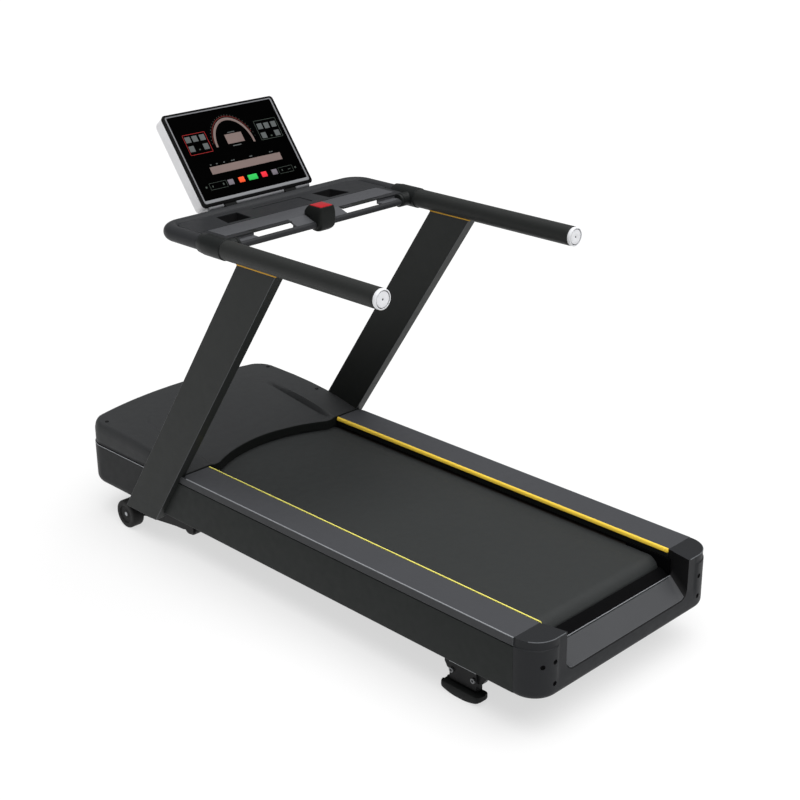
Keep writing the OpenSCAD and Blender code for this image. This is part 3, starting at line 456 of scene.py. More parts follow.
def foot_rails():
    for nm, s in SIDES:
        outline = [(s * 284.4, SEAM + 0.5), (s * 284.4, 450), (s * 368, 450)]
        outline += [(s * x, y) for x, y in circle((370, 430), 20, 10, 90, 0, ends=True)]
        outline += [(s * 390, SEAM + 0.5)]
        ob = prism("foot_rail_" + nm, outline, "z", 264.5, RAIL, "rail", slot="rail_grey", bevel=0.9,
                   segments=2, sharp=30)
        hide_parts("foot_rail_" + nm)
        edge = [(SEAM + 0.5, 262.2), (SEAM + 0.5, 286.4), (440, 286.4)]
        edge += circle((452, 274.3), 12.1, 10, 90, -90, ends=True)
        # the rail edge's rounds take a mid grey: a painted highlight
        prism("rail_edge_" + nm, edge, "x", s * 386.5, s * 391.2, "rail_edge", slot="rail_grey", bevel=0.9,
              edge="highlight_mid")
        # a light bead along the rail's outer top edge: a painted highlight
        highlight_bead = [(389.4, 286.4), (390.5, 286.4), (390.5, 287.4), (389.6, 288.3), (388.5, 288.3),
                (388.5, 287.4)]
        loft("rail_painted_highlight_" + nm, [[(s * x, y, z) for x, z in highlight_bead] for y in (SEAM + 1, 428)],
             "highlight_bright", slot="rail_grey")
        # near strip pale yellow as a painted highlight, far strip a bright yellow as painted light
        bead = [(284.8, 290.2), (281.4, 290.2), (279.6, 289.0), (278.0, 286.4), (276.8, 283.2),
                (276.4, 280.4), (277.4, 279.0), (284.2, 279.0)]
        rings = [[(s * x, y, z) for x, z in bead] for y in (SEAM, SEAM + 2, 444, 446)]
        ob = loft("accent_strip_" + nm, rings, "yellow" if s > 0 else "painted_highlight_yellow", slot="yellow_plastic",
                  sharp=40)
        if s > 0:
            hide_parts("accent_strips")
        # a black strip under each yellow strip, filling the gap beside the belt: painted shadow
        seal = [(s * 281.5, 258.5), (s * 284.6, 258.5), (s * 284.6, 279.2), (s * 281.5, 279.2)]
        loft("rail_painted_shadow_strip_" + nm, [[(x, y, z) for x, z in seal] for y in (SEAM, 446)], "black",
             slot="black_plastic", bevel=0.6)


foot_rails()


def side_panels():
    for nm, s in SIDES:
        x = HALF
        outer = [(x, 124), (x, 258.5), (x - 3, 260.5), (x - 20, 260.5), (x - 20, 257), (x - 4.5, 257),
                 (x - 3.5, 256)]
        outer += [(x - 3.5, 123.5), (x - 6, 122.2), (x - 20, 122.2), (x - 20, 119)]
        outer += [(x - 5, 119), (x - 2, 120), (x - 0.5, 122)]
        rings = [[(s * px, y, pz) for px, pz in outer] for y in np.linspace(SEAM + 0.5, 598, 24)]
        ob = loft("side_panel_" + nm + "_skin", rings, "panel", slot="panel_black", sharp=28)
        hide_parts("side_panel_" + nm)


side_panels()

# ------------------------------------------------------------------ rear cap

CAP_R = 76.0
RECESS_R = 7.2
STEP_HALF = 282


def cap_plan_point(u, d):
    """Point of the cap's U outline; u in [-1, 1] runs from the left seam round to the right one."""
    r = CAP_R
    cx, cy = HALF - r, REAR + r
    straight_side = SEAM - cy
    arc_len = r * pi / 2
    half_len = cx + arc_len + straight_side
    s = abs(u) * half_len
    if s <= cx:
        x, y, nx, ny = s, REAR, 0.0, -1.0
    elif s <= cx + arc_len:
        a = (s - cx) / r
        x, y, nx, ny = cx + r * sin(a), cy - r * cos(a), sin(a), -cos(a)
    else:
        x, y, nx, ny = HALF, cy + (s - cx - arc_len), 1.0, 0.0
    x -= nx * d
    y -= ny * d
    return (x if u >= 0 else -x), y, s


def cap_inset(s, z):
    """How far the surface lies inside the outline: the bumper corner stands proud of the band above it."""
    band = smooth_step((z - 261.0) / 3.0)
    middle = 1 - smooth_step((s - 300.0) / 14.0)
    fade = smooth_step((z - 145.0) / 50.0)
    return max(2.8 * band, 3.8 * middle * fade)


def rear_cap():
    us = np.concatenate([-np.linspace(1, 0, 130)[:-1], np.linspace(0, 1, 130)])
    levels = []
    for i in range(9):
        a = (pi / 2) * i / 8
        levels.append((112 + 20 * (1 - cos(a)), 20 * (1 - sin(a))))
    levels += [(z, 0.0) for z in np.linspace(137, 259, 30)]
    levels += [(z, 0.0) for z in (260, 261, 261.7, 262.4, 263.1, 264, 266, 270, 276, 282)]
    levels += [(286, 0.0), (288, 0.0)]
    rings = []
    for z, d in levels:
        ring = []
        for u in us:
            _, _, s = cap_plan_point(u, 0)
            x, y, _ = cap_plan_point(u, d + cap_inset(s, z))
            ring.append((x, y, z))
        rings.append(ring)
    ob = loft("rear_cap_body", rings, "cap", slot="cap_charcoal")
    # the open space over the step, with rounded lower corners
    sections = []
    for y, half, low in ((REAR - 3, 270.5, 163.2), (REAR + 5, 270.5, 168.0), (SEAM - 19.5, 281.0, 208.5),
                         (SEAM - 19, 283, 196), (SEAM + 2, 285, 196)):
        r = 30 if y < SEAM - 18 else 22
        pts = [(half, 300)]
        pts += [(half - r + r * cos(radians(a)), low + r + r * sin(radians(a))) for a in range(0, -91, -10)]
        pts += [(-half + r + r * cos(radians(a)), low + r + r * sin(radians(a)))
                for a in range(-90, -181, -10)]
        pts += [(-half, 300)]
        sections.append([(x, y, z) for x, z in pts])
    room = ring_cutter("room", sections)
    # the walls this cutter leaves inside the cap take near black: painted shade
    room.data.materials.append(MATS["cap_recess_shade"])
    under = []
    for y, top in ((REAR + 11, 158), (SEAM - 26, 190), (SEAM + 3, 191)):
        under.append([(-262, y, 105), (262, y, 105), (262, y, top - 1), (-262, y, top - 1)])
    ears = []
    for s in (-1, 1):
        ring = []
        for z in (105, 280):
            pts = [(292, SEAM + 3), (292, REAR + 30)]
            pts += circle((HALF - CAP_R, REAR + CAP_R), 66, 8, -80, 0, ends=True)
            pts += [(HALF - 9, SEAM + 3)]
            ring.append([(s * x, y, z) for x, y in pts])
        ears.append(ring_cutter("ear", ring))
    holes = []
    for x, y, z, a in cap_screw_spots():
        d = Vector((sin(a), -cos(a), 0))
        across = Vector((cos(a), sin(a), 0))
        rings = []
        for t in (6, -4.5):
            c = Vector((x, y, z)) + d * t
            turns = [2 * pi * j / 24 for j in range(24)]
            rings.append([tuple(c + across * RECESS_R * cos(q) + Vector((0, 0, RECESS_R * sin(q))))
                          for q in turns])
        holes.append(ring_cutter("hole", rings))
        # the screw holes' walls take near black: painted shade
        holes[-1].data.materials.append(MATS["cap_recess_shade"])
    cut(ob, [room, ring_cutter("under", under)] + ears + holes)
    # the rounds on the cap's edges take a lighter grey: a painted highlight
    soften(ob, 1.5, 2, 38, edge="cap_highlight_edge")
    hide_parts("rear_cap")
    # lighter scoop panel and the lip above it; the panel's rounds take a lighter grey, a painted highlight
    slope = []
    for t in np.linspace(0, 1, 12):
        y = SEAM - 20 - 60 * t
        z = 209.3 - 41.5 * t
        half = 277 - 14 * t
        slope.append((y, z, half))
    rings = []
    for y, z, half in slope:
        row = []
        r = 29.0
        for a in range(0, -91, -9):
            row.append((half - r + (r - 0.5) * cos(radians(a)) + 3, y, z + r + (r - 0.7) * sin(radians(a))))
        row = [p for p in row if p[2] < z + 12]
        row += [(-x, y2, z2) for x, y2, z2 in reversed(row)]
        rings.append(row + [(x, y2, z2 - 2.4) for x, y2, z2 in reversed(row)])
    loft("scoop_panel", rings, "scoop", slot="cap_charcoal", sharp=40, bevel=0.8, segments=2, edge="highlight_mid")
    # thin bright bead round the top of each corner: a painted highlight
    for nm, s in SIDES:
        rings = []
        for k in np.linspace(276.5, 400.0, 60):
            u = k / (HALF - CAP_R + CAP_R * pi / 2 + SEAM - REAR - CAP_R)
            if u > 1:
                continue
            ring = []
            for d, z in ((2.3, 286.6), (2.3, 287.6), (3.2, 288.4), (4.3, 288.4), (4.3, 287.2), (3.4, 286.6)):
                x, y, _ = cap_plan_point(s * u, d)
                ring.append((x, y, z))
            rings.append(ring)
        loft("cap_painted_highlight_" + nm, rings, "cap_highlight_edge", slot="cap_charcoal", sharp=50)
    # near-black plates closing the gap between the cap and the belt, shaped as a guard with a pan, cheeks and
    # ribs: painted shade in that gap
    guard = [(SEAM - 13.2, 199), (SEAM - 13.2, 208.6), (SEAM + 20.5, 227), (SEAM + 21.5, 224.5),
             (SEAM - 6, 206), (SEAM - 6, 199)]
    prism("rear_shade_guard", guard, "x", -STEP_HALF, STEP_HALF, "void", slot="cap_charcoal", bevel=0.6)
    pan = [(SEAM - 13.2, 170), (SEAM + 150, 170), (SEAM + 150, 172.6), (SEAM - 10.6, 172.6),
           (SEAM - 10.6, 199), (SEAM - 13.2, 199)]
    prism("rear_shade_guard_pan", pan, "x", -STEP_HALF, STEP_HALF, "void", slot="cap_charcoal", bevel=0.6)
    for nm, s in SIDES:
        x0, x1 = sorted((s * 276.0, s * 284.4))
        for part, y0, z0, y1 in (("cheek", SEAM - 11, 173, SEAM + 48), ("rib", SEAM + 46, 229, SEAM + 145)):
            box("rear_guard_%s_%s" % (part, nm), (x0, y0, z0), (x1, y1, 262), "void", slot="cap_charcoal",
                bevel=0.6)
    # the lip is light grey with still lighter rounds: a painted highlight along its top
    lip = [(SEAM - 13.4, 195.5), (SEAM - 13.4, 212.0), (SEAM - 16.2, 212.0), (SEAM - 16.2, 195.5)]
    prism("scoop_lip", lip, "x", -STEP_HALF, STEP_HALF, "highlight_mid", slot="cap_charcoal", bevel=0.9,
          segments=2, edge="highlight_bright")


def cap_screw_spots():
    spots = []
    turn = radians(33)
    for s in (-1, 1):
        spots.append((s * 320, REAR + 0.2, RAIL - 68, 0.0))
        spots.append((s * 320, REAR + 0.2, RAIL - 133, 0.0))
        spots.append((s * (HALF - CAP_R + CAP_R * sin(turn)), REAR + CAP_R - CAP_R * cos(turn), RAIL - 74.5,
                      s * turn))
    return spots


rear_cap()


def socket_screw(name, at, d, r, mat="screw", slot="black_screw", body=BASE, depth=3.0, extra=0.0):
    """A screw head with a hex socket, facing along d."""
    d = Vector(d).normalized()
    ref = Vector((0, 0, 1)) if abs(d.z) < 0.9 else Vector((1, 0, 0))
    u = d.cross(ref).normalized()
    v = d.cross(u)
    rings = []
    for t, q, hexed in ((-depth, r, 0), (-0.5, r, 0), (0, r - 0.5, 0), (0, r * 0.5, 1),
                        (-depth * 0.6, r * 0.45, 1)):
        ring = []
        for j in range(24):
            a = 2 * pi * j / 24
            k = q
            if hexed:
                b = (a % (pi / 3)) - pi / 6
                k = q * cos(pi / 6) / cos(b)
            c = Vector(at) + d * (t + extra)
            ring.append(tuple(c + u * k * cos(a) + v * k * sin(a)))
        rings.append(ring)
    return loft(name, rings, mat, body, slot, sharp=30)


def all_screws():
    spots = cap_screw_spots()
    for i, (x, y, z, a) in enumerate(spots):
        d = (sin(a), -cos(a), 0)
        ob = socket_screw("cap_screw_%d" % i, (x - d[0] * 3.0, y - d[1] * 3.0, z), d, 5.6, slot="zinc_steel",
                          depth=2.5)
        if i == 0:
            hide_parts("cap_screws")
    i = 0
    for s in (-1, 1):
        for x, y in ((356, 902), (352, 632)):
            z = hood_height(x, y) + 1.0
            ob = socket_screw("hood_screw_%d" % i, (s * x, y, z), (0, 0, 1), 7.0, depth=6)
            if i == 0:
                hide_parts("hood_screws")
            i += 1


# ------------------------------------------------------------------ motor cover

HOOD_Y = 452.0
HOOD_TOP = RAIL + 46
RISE_AT = [-20, 0, 25, 50, 100, 160, 240, 330, 430, 700]
RISE_BY = [2, 5, 10, 15.5, 25, 34, 41, 45, 46, 46]


def hood_front(x, d):
    """The cover's front edge at x, inset by d."""
    r_bow, r_c = 1268.0, 90.0
    cx, cy = HALF - r_c, FRONT - 127
    bow = asin(cx / r_bow)
    corner_x = cx + (r_c - d) * sin(bow)
    ax = abs(x)
    if ax <= corner_x:
        return FRONT - r_bow + sqrt((r_bow - d) ** 2 - x * x)
    k = (r_c - d) ** 2 - (ax - cx) ** 2
    return cy + sqrt(max(0.0, k))


def hood_rear(x):
    """The cover's rear edge: an arc over the belt, straight over the rails."""
    k = 457.0 ** 2 - x * x
    arc = 61 + sqrt(k) if k > 0 and abs(x) < 300 else 0
    return HOOD_Y + smooth_max(arc - HOOD_Y, 0.0, 5.0)


def smooth_max(a, b, k):
    h = max(k - abs(a - b), 0.0) / k
    return max(a, b) + h * h * k * 0.25


def dish_depth_share(x, y):
    """1 well inside the sunk middle of the cover, 0 on its shoulders."""
    r = 75.0
    qx = abs(x) - (269 - r)
    qy = y - (846 - r)
    outside = hypot(max(qx, 0), max(qy, 0)) + min(max(qx, qy), 0) - r
    return smooth_step(-outside / 10.0)


def hood_height(x, y):
    shoulder = RAIL + float(np.interp(y - HOOD_Y, RISE_AT, RISE_BY))
    dish = RAIL + 2 + (HOOD_TOP - RAIL - 2) * (y - 519) / (846 - 519)
    dish = min(dish, shoulder)
    if y < 519:
        dish = min(dish, RAIL + 2)
    dish = max(dish, RAIL + 1)
    k = dish_depth_share(x, y)
    return shoulder + k * (min(dish, shoulder) - shoulder)


def edge_fall(d):
    """Drop of the surface at distance d inside the outline: a soft bevel above a short wall."""
    if d >= 16:
        return 0.0
    if d >= 10:
        t = (16 - d) / 6
        return 3.0 * t * t
    t = (10 - d) / 10
    return 3.0 + 10 * t + 16 * t ** 3


def hood():
    d0 = 3.0
    half = HALF - d0
    nx = 150
    t = np.linspace(-1, 1, nx + 1)
    xs = half * (0.35 * t + 0.65 * np.sin(t * pi / 2))
    rows = np.concatenate([np.linspace(0, 0.04, 6)[:-1], np.linspace(0.04, 0.9, 70)[:-1],
                           1 - 0.1 * np.cos(np.linspace(0, pi / 2, 16))])
    rows[-1] = 1.0
    rows = sorted(set(np.round(rows, 5)))
    grid = []
    for x in xs:
        ya, yb = hood_rear(x) + 0.8, hood_front(x, d0)
        col = []
        for v in rows:
            y = ya + (yb - ya) * v
            side_d = half - abs(x)
            if y > FRONT - 127 - 5:
                cx, cy, r_c = HALF - 90.0, FRONT - 127, 90.0
                if abs(x) > cx and y > cy:
                    side_d = min(side_d, (r_c - d0) - hypot(abs(x) - cx, y - cy))
            front_d = (1268 - d0) - hypot(x, y - (FRONT - 1268))
            d = max(0.0, min(side_d, front_d))
            rear_d = y - ya
            lip = 1.2 * (1 - smooth_step(rear_d / 2.0))
            col.append((x, y, hood_height(x, y) - edge_fall(d) - lip))
        grid.append(col)
    nr = len(rows)
    verts = [p for col in grid for p in col]
    faces = []
    for i in range(nx):
        for j in range(nr - 1):
            a = i * nr + j
            faces.append((a, a + nr, a + nr + 1, a + 1))
    # walls: rear lip, sides and front, all going down from the grid's border
    border = [i * nr for i in range(nx + 1)]
    border += [nx * nr + j for j in range(1, nr)]
    border += [i * nr + nr - 1 for i in range(nx - 1, -1, -1)]
    border += [j for j in range(nr - 2, 0, -1)]
    prev = border
    for z in (None, 275.0, 257.5):
        start = len(verts)
        for b in border:
            x, y, z0 = verts[b]
            if z is None:
                verts.append((x, y, z0 - 1.5))
            else:
                verts.append((x, y, min(z, z0 - 3)))
        ring = list(range(start, start + len(border)))
        for a in range(len(border)):
            c = (a + 1) % len(border)
            faces.append((prev[a], prev[c], ring[c], ring[a]))
        prev = ring
    me = raw_mesh("hood_upper_skin", verts, faces)
    ob = finish_mesh("hood_upper_skin", me, "cover", BASE, "cover_charcoal", sharp=45)
    mod = ob.modifiers.new("wall", "SOLIDIFY")
    mod.thickness = 3.0 * MM
    mod.offset = -1
    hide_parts("hood_upper")
    # black band down the cover's rear edge, between the cover and the deck: painted shade on the cover's rear
    # wall
    edge = []
    for x in np.linspace(-386, 386, 160):
        y = hood_rear(x)
        z = hood_height(x, y + 0.8) - edge_fall(half - abs(x)) - 2.2
        edge.append([(x, y - 0.9, 256.5), (x, y - 0.9, z - 0.5), (x, y - 0.4, z), (x, y + 1.4, z),
                     (x, y + 1.4, 256.5)])
    loft("hood_rear_painted_shade_band", edge, "black", slot="black_plastic", sharp=40)

    def shell_plan(d, z, start):
        """The lower shell's outline, inset by d, at height z."""
        side = (start, 660, 740, 820, 890)
        ring = [(-(HALF - d), y, z) for y in side]
        for x in (HALF - d) * np.sin(np.linspace(-pi / 2, pi / 2, 90)):
            ring.append((x, max(hood_front(x * (HALF - d - 1e-6) / (HALF - d), d), 895.0), z))
        return ring + [((HALF - d), y, z) for y in reversed(side)]
    # the dark strip closing the joint between the two shells, and a lighter bead on the lower shell's top edge:
    # a painted highlight
    section = ((3.5, 252.0), (3.5, 262.0), (4.4, 262.0), (4.4, 252.0))
    columns = list(zip(*(shell_plan(d, z, 604) for d, z in section)))
    loft("hood_joint_strip", [list(c) for c in columns], "void", slot="black_plastic", sharp=40)
    section = ((-0.15, 254.3), (-0.15, 255.2), (0.6, 255.9), (1.5, 255.9), (1.5, 254.3))
    columns = list(zip(*(shell_plan(d, z, 604) for d, z in section)))
    loft("hood_painted_highlight", [list(c) for c in columns], "highlight_bright", slot="cover_charcoal", sharp=40)
    # lower shell
    levels = [(255.6, 1.4), (255.0, 0.4), (254.0, 0.0)]
    levels += [(z, 0.0) for z in np.linspace(245, 140, 8)]
    levels += [(137 - 25 * sin(a), 22 * (1 - cos(a))) for a in np.linspace(0.15, pi / 2, 9)]
    rings = [shell_plan(d, z, 602) for z, d in levels]
    ob = loft("hood_lower_skin", rings, "cover_low", slot="cover_charcoal", caps=False, closed=False,
              sharp=45)
    mod = ob.modifiers.new("wall", "SOLIDIFY")
    mod.thickness = 3.2 * MM
    mod.offset = -1
    # openings for the power inlet and the rocker switch
    ports = []
    for x, half_x, half_z in ((250, 24.1, 14.1), (300, 11.1, 15.1)):
        ring = round_outline(x - half_x, 165 - half_z, x + half_x, 165 + half_z, 0.3, 2)
        ports.append(ring_cutter("port", [[(px, y, pz) for px, pz in ring] for y in (930, 1040)]))
    cut(ob, ports)
    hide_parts("hood_lower")


hood()
all_screws()

# ------------------------------------------------------------------ uprights


def uprights():
    lean = (868 - 1527) / (1076 - 95)
    for nm, s in SIDES:
        pts = [(582, 95), (745, 95), (89.5 - 2.2 * lean, 1073.8), (-77 - 2.2 * lean, 1073.8)]
        # the posts' rounds take a lighter grey: a painted highlight
        ob = prism("upright_" + nm + "_post", pts, "x", s * 374, s * 411, "upright", slot="upright_paint",
                   bevel=1.3, segments=2, edge="highlight_mid")
        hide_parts("upright_" + nm)


uprights()

# ------------------------------------------------------------------ handrails


def handrails():
    y_end, y_front = -470.5, 158.0
    for nm, s in SIDES:
        c = (s * GRIP_X, GRIP_Z)
        r = 29.5
        prof = [(y_end + 0.5, 19.2), (y_end + 0.5, r - 2), (y_end + 1.1, r - 0.6), (y_end + 2.4, r)]
        prof += [(y, r) for y in np.linspace(y_end + 12, y_front - 12, 24)]
        prof += [(y_front - 3.4, r), (y_front - 1.6, r - 0.5), (y_front - 0.8, r - 1.6),
                 (y_front - 0.8, 19.2)]
        ob = lathe("hand_grip_" + nm, prof, "y", c, "grip", slot="grip_rubber", loop=False, caps=False,
                   sharp=40)
        close_tube(ob, len(prof), 64)
        if s < 0:
            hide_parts("hand_grips")
        y = y_end
        cap = [(y + 0.3, 0.0), (y + 0.3, 28.0), (y - 2, 28.9), (y - 7.5, 28.9), (y - 10, 28.0),
               (y - 11, 26.6), (y - 11.4, 25.4), (y - 11.0, 24.8), (y - 8.0, 24.6), (y - 8.0, 22.4),
               (y - 9.8, 22.2), (y - 10.2, 21.0), (y - 10.2, 4.0), (y - 9.8, 3.0), (y - 8.0, 2.8),
               (y - 8.0, 0.0)]
        ob = lathe("end_cap_" + nm, [p for p in cap if p[1] > 0], "y", c, "white", slot="white_plastic",
                   sharp=35)
        if s < 0:
            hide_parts("end_caps")
        # a near-black ring in the end cap's groove and a dark disc in its centre hole: painted shade
        lathe("end_cap_groove_shade_" + nm, [(y - 7.9, 24.9), (y - 8.6, 24.7), (y - 8.6, 22.3), (y - 7.9, 22.1)], "y",
              c, "screw", slot="black_plastic", loop=True)
        lathe("end_cap_hole_shade_" + nm, [(y - 7.0, 3.4), (y - 8.8, 3.4), (y - 8.9, 3.0)], "y", c, "screw",
              slot="black_plastic", n=24)
        # T fitting: sleeve, collars and the branch that holds the rear bar
        a, b = 155.0, 264.0
        r = 32.0
        prof = [(a, 29.6), (a, r - 1.5), (a + 1.5, r), (a + 30, r), (a + 34, r), (b - 26, r),
                (b - 22, r - 1.0), (b - 3, r - 2.6), (b - 0.4, r - 4.4), (b, 24.2)]
        ob = lathe("rail_tee_" + nm, prof, "y", c, "fitting", slot="black_plastic", sharp=25, caps=False)
        close_tube(ob, len(prof), 64)
        if s < 0:
            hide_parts("rail_tees")
        by, bz = 188.0, 1097.0
        prof = [(380, 24.0), (372, 23.0), (364, 21.6), (352, 21.0), (339.0, 21.0), (338.2, 19.6),
                (336.6, 19.4), (335.8, 21.0), (329.6, 21.0), (328.2, 20.4), (327.8, 19.2), (327.8, 12.0)]
        prof = [(s * a, b) for a, b in prof]
        lathe("tee_branch_" + nm, prof, "x", (by, bz), "fitting", slot="black_plastic", sharp=25)


def close_tube(ob, rings, n):
    """Join the first and the last ring of a turned wall, so that it's a closed tube."""
    bm = bmesh.new()
    bm.from_mesh(ob.data)
    edges = [e for e in bm.edges if e.is_boundary]
    bmesh.ops.bridge_loops(bm, edges=edges)
    bmesh.ops.recalc_face_normals(bm, faces=bm.faces)
    for f in bm.faces:
        f.smooth = True
    bm.to_mesh(ob.data)
    bm.free()
    ob.data.set_sharp_from_angle(angle=radians(35))


handrails()


def tray_rim():
    r, rc = 24.0, 54.0
    y0, y1 = 263.0, 450.0
    cx, cy = GRIP_X - rc, y1 - rc
    path = [(-GRIP_X, y, 0.0) for y in np.linspace(y0, cy, 10)]
    path += [(-cx - rc * cos(radians(a)), cy + rc * sin(radians(a)), a) for a in range(6, 91, 6)]
    path += [(x, y1, 90.0) for x in np.linspace(-cx, cx, 25)[1:]]
    path += [(cx + rc * sin(radians(a)), cy + rc * cos(radians(a)), 90.0 + a) for a in range(6, 91, 6)]
    path += [(GRIP_X, y, 180.0) for y in np.linspace(cy, y0, 10)[1:]]
    rings = []
    for x, y, a in path:
        n = (cos(radians(180 - a)), sin(radians(180 - a)))
        rings.append([(x + n[0] * r * cos(t), y + n[1] * r * cos(t), GRIP_Z + r * sin(t))
                      for t in np.linspace(0, 2 * pi, 48, endpoint=False)])
    ob = loft("tray_rim_tube", rings, "rim", slot="rim_charcoal", sharp=50)
    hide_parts("tray_rim")


tray_rim()


def pocket_plan(s):
    """Outline of a side pocket at the tray's top."""
    return [(s * 154, 402), (s * 160, 325), (s * 249, 325), (s * 233, 402)]


def tray():
    reach = 32.0
    cx, cy = 339.0, 396.0
    rear, back = 222.0, 201.0
    plan = [(362, back), (362, 286.5), (cx + reach, 286.5)]
    plan += circle((cx, cy), reach, 12, 0, 90, ends=True) + circle((-cx, cy), reach, 12, 90, 180, ends=True)
    plan += [(-cx - reach, 286.5), (-362, 286.5), (-362, back), (-258, back), (-258, rear), (258, rear),
             (258, back)]
    ob = prism("tray_top", plan, "z", TRAY_TOP - 4.5, TRAY_TOP, "tray", slot="tray_charcoal")
    above = TRAY_TOP + 4
    recess = round_outline(-97, 330, 97, 400, 8)
    groove = [(-354, 306.5), (354, 306.5), (354, 309.5), (-354, 309.5)]
    cutters = [ring_cutter("pocket", both_levels(pocket_plan(s), TRAY_TOP - 10, above)) for s in (-1, 1)]
    cutters.append(ring_cutter("recess", both_levels(recess, TRAY_TOP - 2.5, above)))
    cutters.append(ring_cutter("groove", both_levels(groove, TRAY_TOP - 2, above)))
    cut(ob, cutters)
    soften(ob, 0.8, 3, 40)
    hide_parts("tray")
    # the pockets are near black inside: painted shade in the recesses
    for nm, s in SIDES:
        mid = (s * 199, 363.5)
        rings = []
        for drop, k in ((2.5, 1.0), (33, 0.9), (36, 0.86), (36, 0.93), (33, 0.97), (2.5, 1.04)):
            rings.append([(mid[0] + (x - mid[0]) * k, mid[1] + (y - mid[1]) * k, TRAY_TOP - drop)
                          for x, y in pocket_plan(s)])
        n = 4
        verts = [p for r in rings for p in r]
        faces = []
        for i in (0, 1, 3, 4):
            for j in range(n):
                k = (j + 1) % n
                faces.append((i * n + j, i * n + k, (i + 1) * n + k, (i + 1) * n + j))
        for j in range(n):
            k = (j + 1) % n
            faces.append((5 * n + j, 5 * n + k, k, j))
        faces.append((8, 9, 10, 11))
        faces.append((15, 14, 13, 12))
        finish_mesh("pocket_" + nm, raw_mesh("pocket_" + nm, verts, faces), "dark", BASE, "tray_charcoal",
                    bevel=1.0, sharp=35)
    # the lighter band on the user's side, and the dark lip under its rear edge
    band = [(222.5, TRAY_TOP - 1.5), (222.5, TRAY_TOP + 0.6), (224, TRAY_TOP + 1.4), (304, TRAY_TOP + 0.9),
            (306, TRAY_TOP + 0.2), (306, TRAY_TOP - 1.5)]
    loft("tray_band", [[(x, y, z) for y, z in band] for x in np.linspace(-343, 343, 30)], "band",
         slot="tray_charcoal", bevel=0.4, sharp=35)
    lip = [(201.5, TRAY_TOP - 4.0), (201.5, TRAY_TOP - 1.9), (203, TRAY_TOP - 1.2), (224, TRAY_TOP - 0.6),
           (224, TRAY_TOP - 4.0)]
    for nm, s in SIDES:
        prism("tray_lip_" + nm, lip, "x", s * 104, s * 257, "black", slot="tray_charcoal", bevel=0.4)
    for i, (x0, x1) in enumerate(((-236, -104), (110, 150), (238, 256))):
        box("tray_lip_pad_%d" % i, (x0, 203, TRAY_TOP - 2.5), (x1, 220, TRAY_TOP - 0.3), "tray",
            slot="tray_charcoal", bevel=0.7)
    box("tray_hanger", (-100, 200.8, TRAY_TOP - 24), (100, 204, TRAY_TOP - 11), "black", slot="tray_charcoal",
        bevel=0.6)


tray()


def crossbar():
    y, z = 180.0, 1094.0
    prof = [(-331.0, 9.2), (-330.0, 10.0)] + [(x, 10.0) for x in np.linspace(-320, 320, 21)]
    prof += [(330.0, 10.0), (331.0, 9.2)]
    ob = lathe("rear_bar", prof, "x", (y, z), "rim", slot="grey_plastic", sharp=35)
    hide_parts("crossbar")
    side = [(y + 2, z + 5), (y - 1, z + 9.6), (y + 4, z + 10.6), (202.5, z + 10.6), (202.5, TRAY_TOP - 3),
            (207, TRAY_TOP - 3), (207, z + 4.5), (y + 6, z + 4.5)]
    middle = [(y + 2, z + 5), (y - 1, z + 9.6), (y + 4, z + 10.8), (222, TRAY_TOP + 0.9),
              (225, TRAY_TOP + 0.9), (225, TRAY_TOP - 3), (y + 8, z + 4.5)]
    for i, (x0, x1, sec) in enumerate(((-330, -252, side), (-103, 103, middle), (252, 330, side))):
        prism("bar_plate_%d" % i, sec, "x", x0, x1, "bar", slot="grey_plastic", bevel=0.8)


crossbar()


def stacked(spec):
    """Rounded outlines stacked by height: each row is z, half width, rear y, front y, corner radius."""
    return [[(x, y, z) for x, y in round_outline(-h, a, h, b, r, 6)] for z, h, a, b, r in spec]


def stop_switch():
    spec = [(1070, 20, 180, 196, 7), (1071.5, 24, 175, 199, 9), (1075, 28.5, 168.5, 203, 10),
            (1080, 31.3, 162.5, 207, 11), (1087, 33.2, 157.6, 213, 11), (1096, 34, 155.2, 221, 11),
            (1106, 34, 155, 228, 11), (1118, 34, 155, 232.5, 11), (1130, 33.4, 155, 231, 10),
            (1140, 31, 155.8, 224, 9), (1146, 28.6, 157, 217.5, 7), (1148, 27.4, 158, 215, 6),
            (1148.6, 26.0, 159.2, 213.6, 5), (1147.6, 25.4, 160, 213, 5), (1137, 25.4, 160, 213, 5)]
    ob = loft("stop_housing_body", stacked(spec), "black", slot="black_plastic", sharp=40)
    under_tray = [(-60, 201.0), (60, 201.0), (60, 260), (-60, 260)]
    cut(ob, [ring_cutter("below", both_levels(under_tray, 1060, TRAY_TOP + 1.6))])
    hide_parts("stop_housing")
    spec = [(1143, 24.8, 160.6, 212.4, 4.6), (1148.2, 24.8, 160.6, 212.4, 4.6),
            (1149.4, 24.2, 161.2, 211.8, 4.2), (1150, 22.5, 163, 210, 3)]
    ob = loft("stop_cap_red", stacked(spec), "red", "stop_cap", "stop_red", sharp=40)
    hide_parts("stop_button")


stop_switch()

# ------------------------------------------------------------------ console

LEAN = radians(37.1)
CON_Y, CON_Z = SEAM + 1415, RAIL + 841


def con(u, v, w):
    """A point on the console: u across, v up the slope, w out of its face."""
    return (u, CON_Y + v * sin(LEAN) - w * cos(LEAN), CON_Z + v * cos(LEAN) + w * sin(LEAN))


def con_loft(name, rings, mat, slot, body="console", **kw):
    return loft(name, [[con(*p) for p in r] for r in rings], mat, body, slot, **kw)


def plate(name, outline, w0, w1, mat, slot, body="console", edge=0.0, **kw):
    return con_loft(name, [[(u, v, w0) for u, v in outline], [(u, v, w1) for u, v in outline]], mat, slot,
                    body, bevel=edge, **kw)


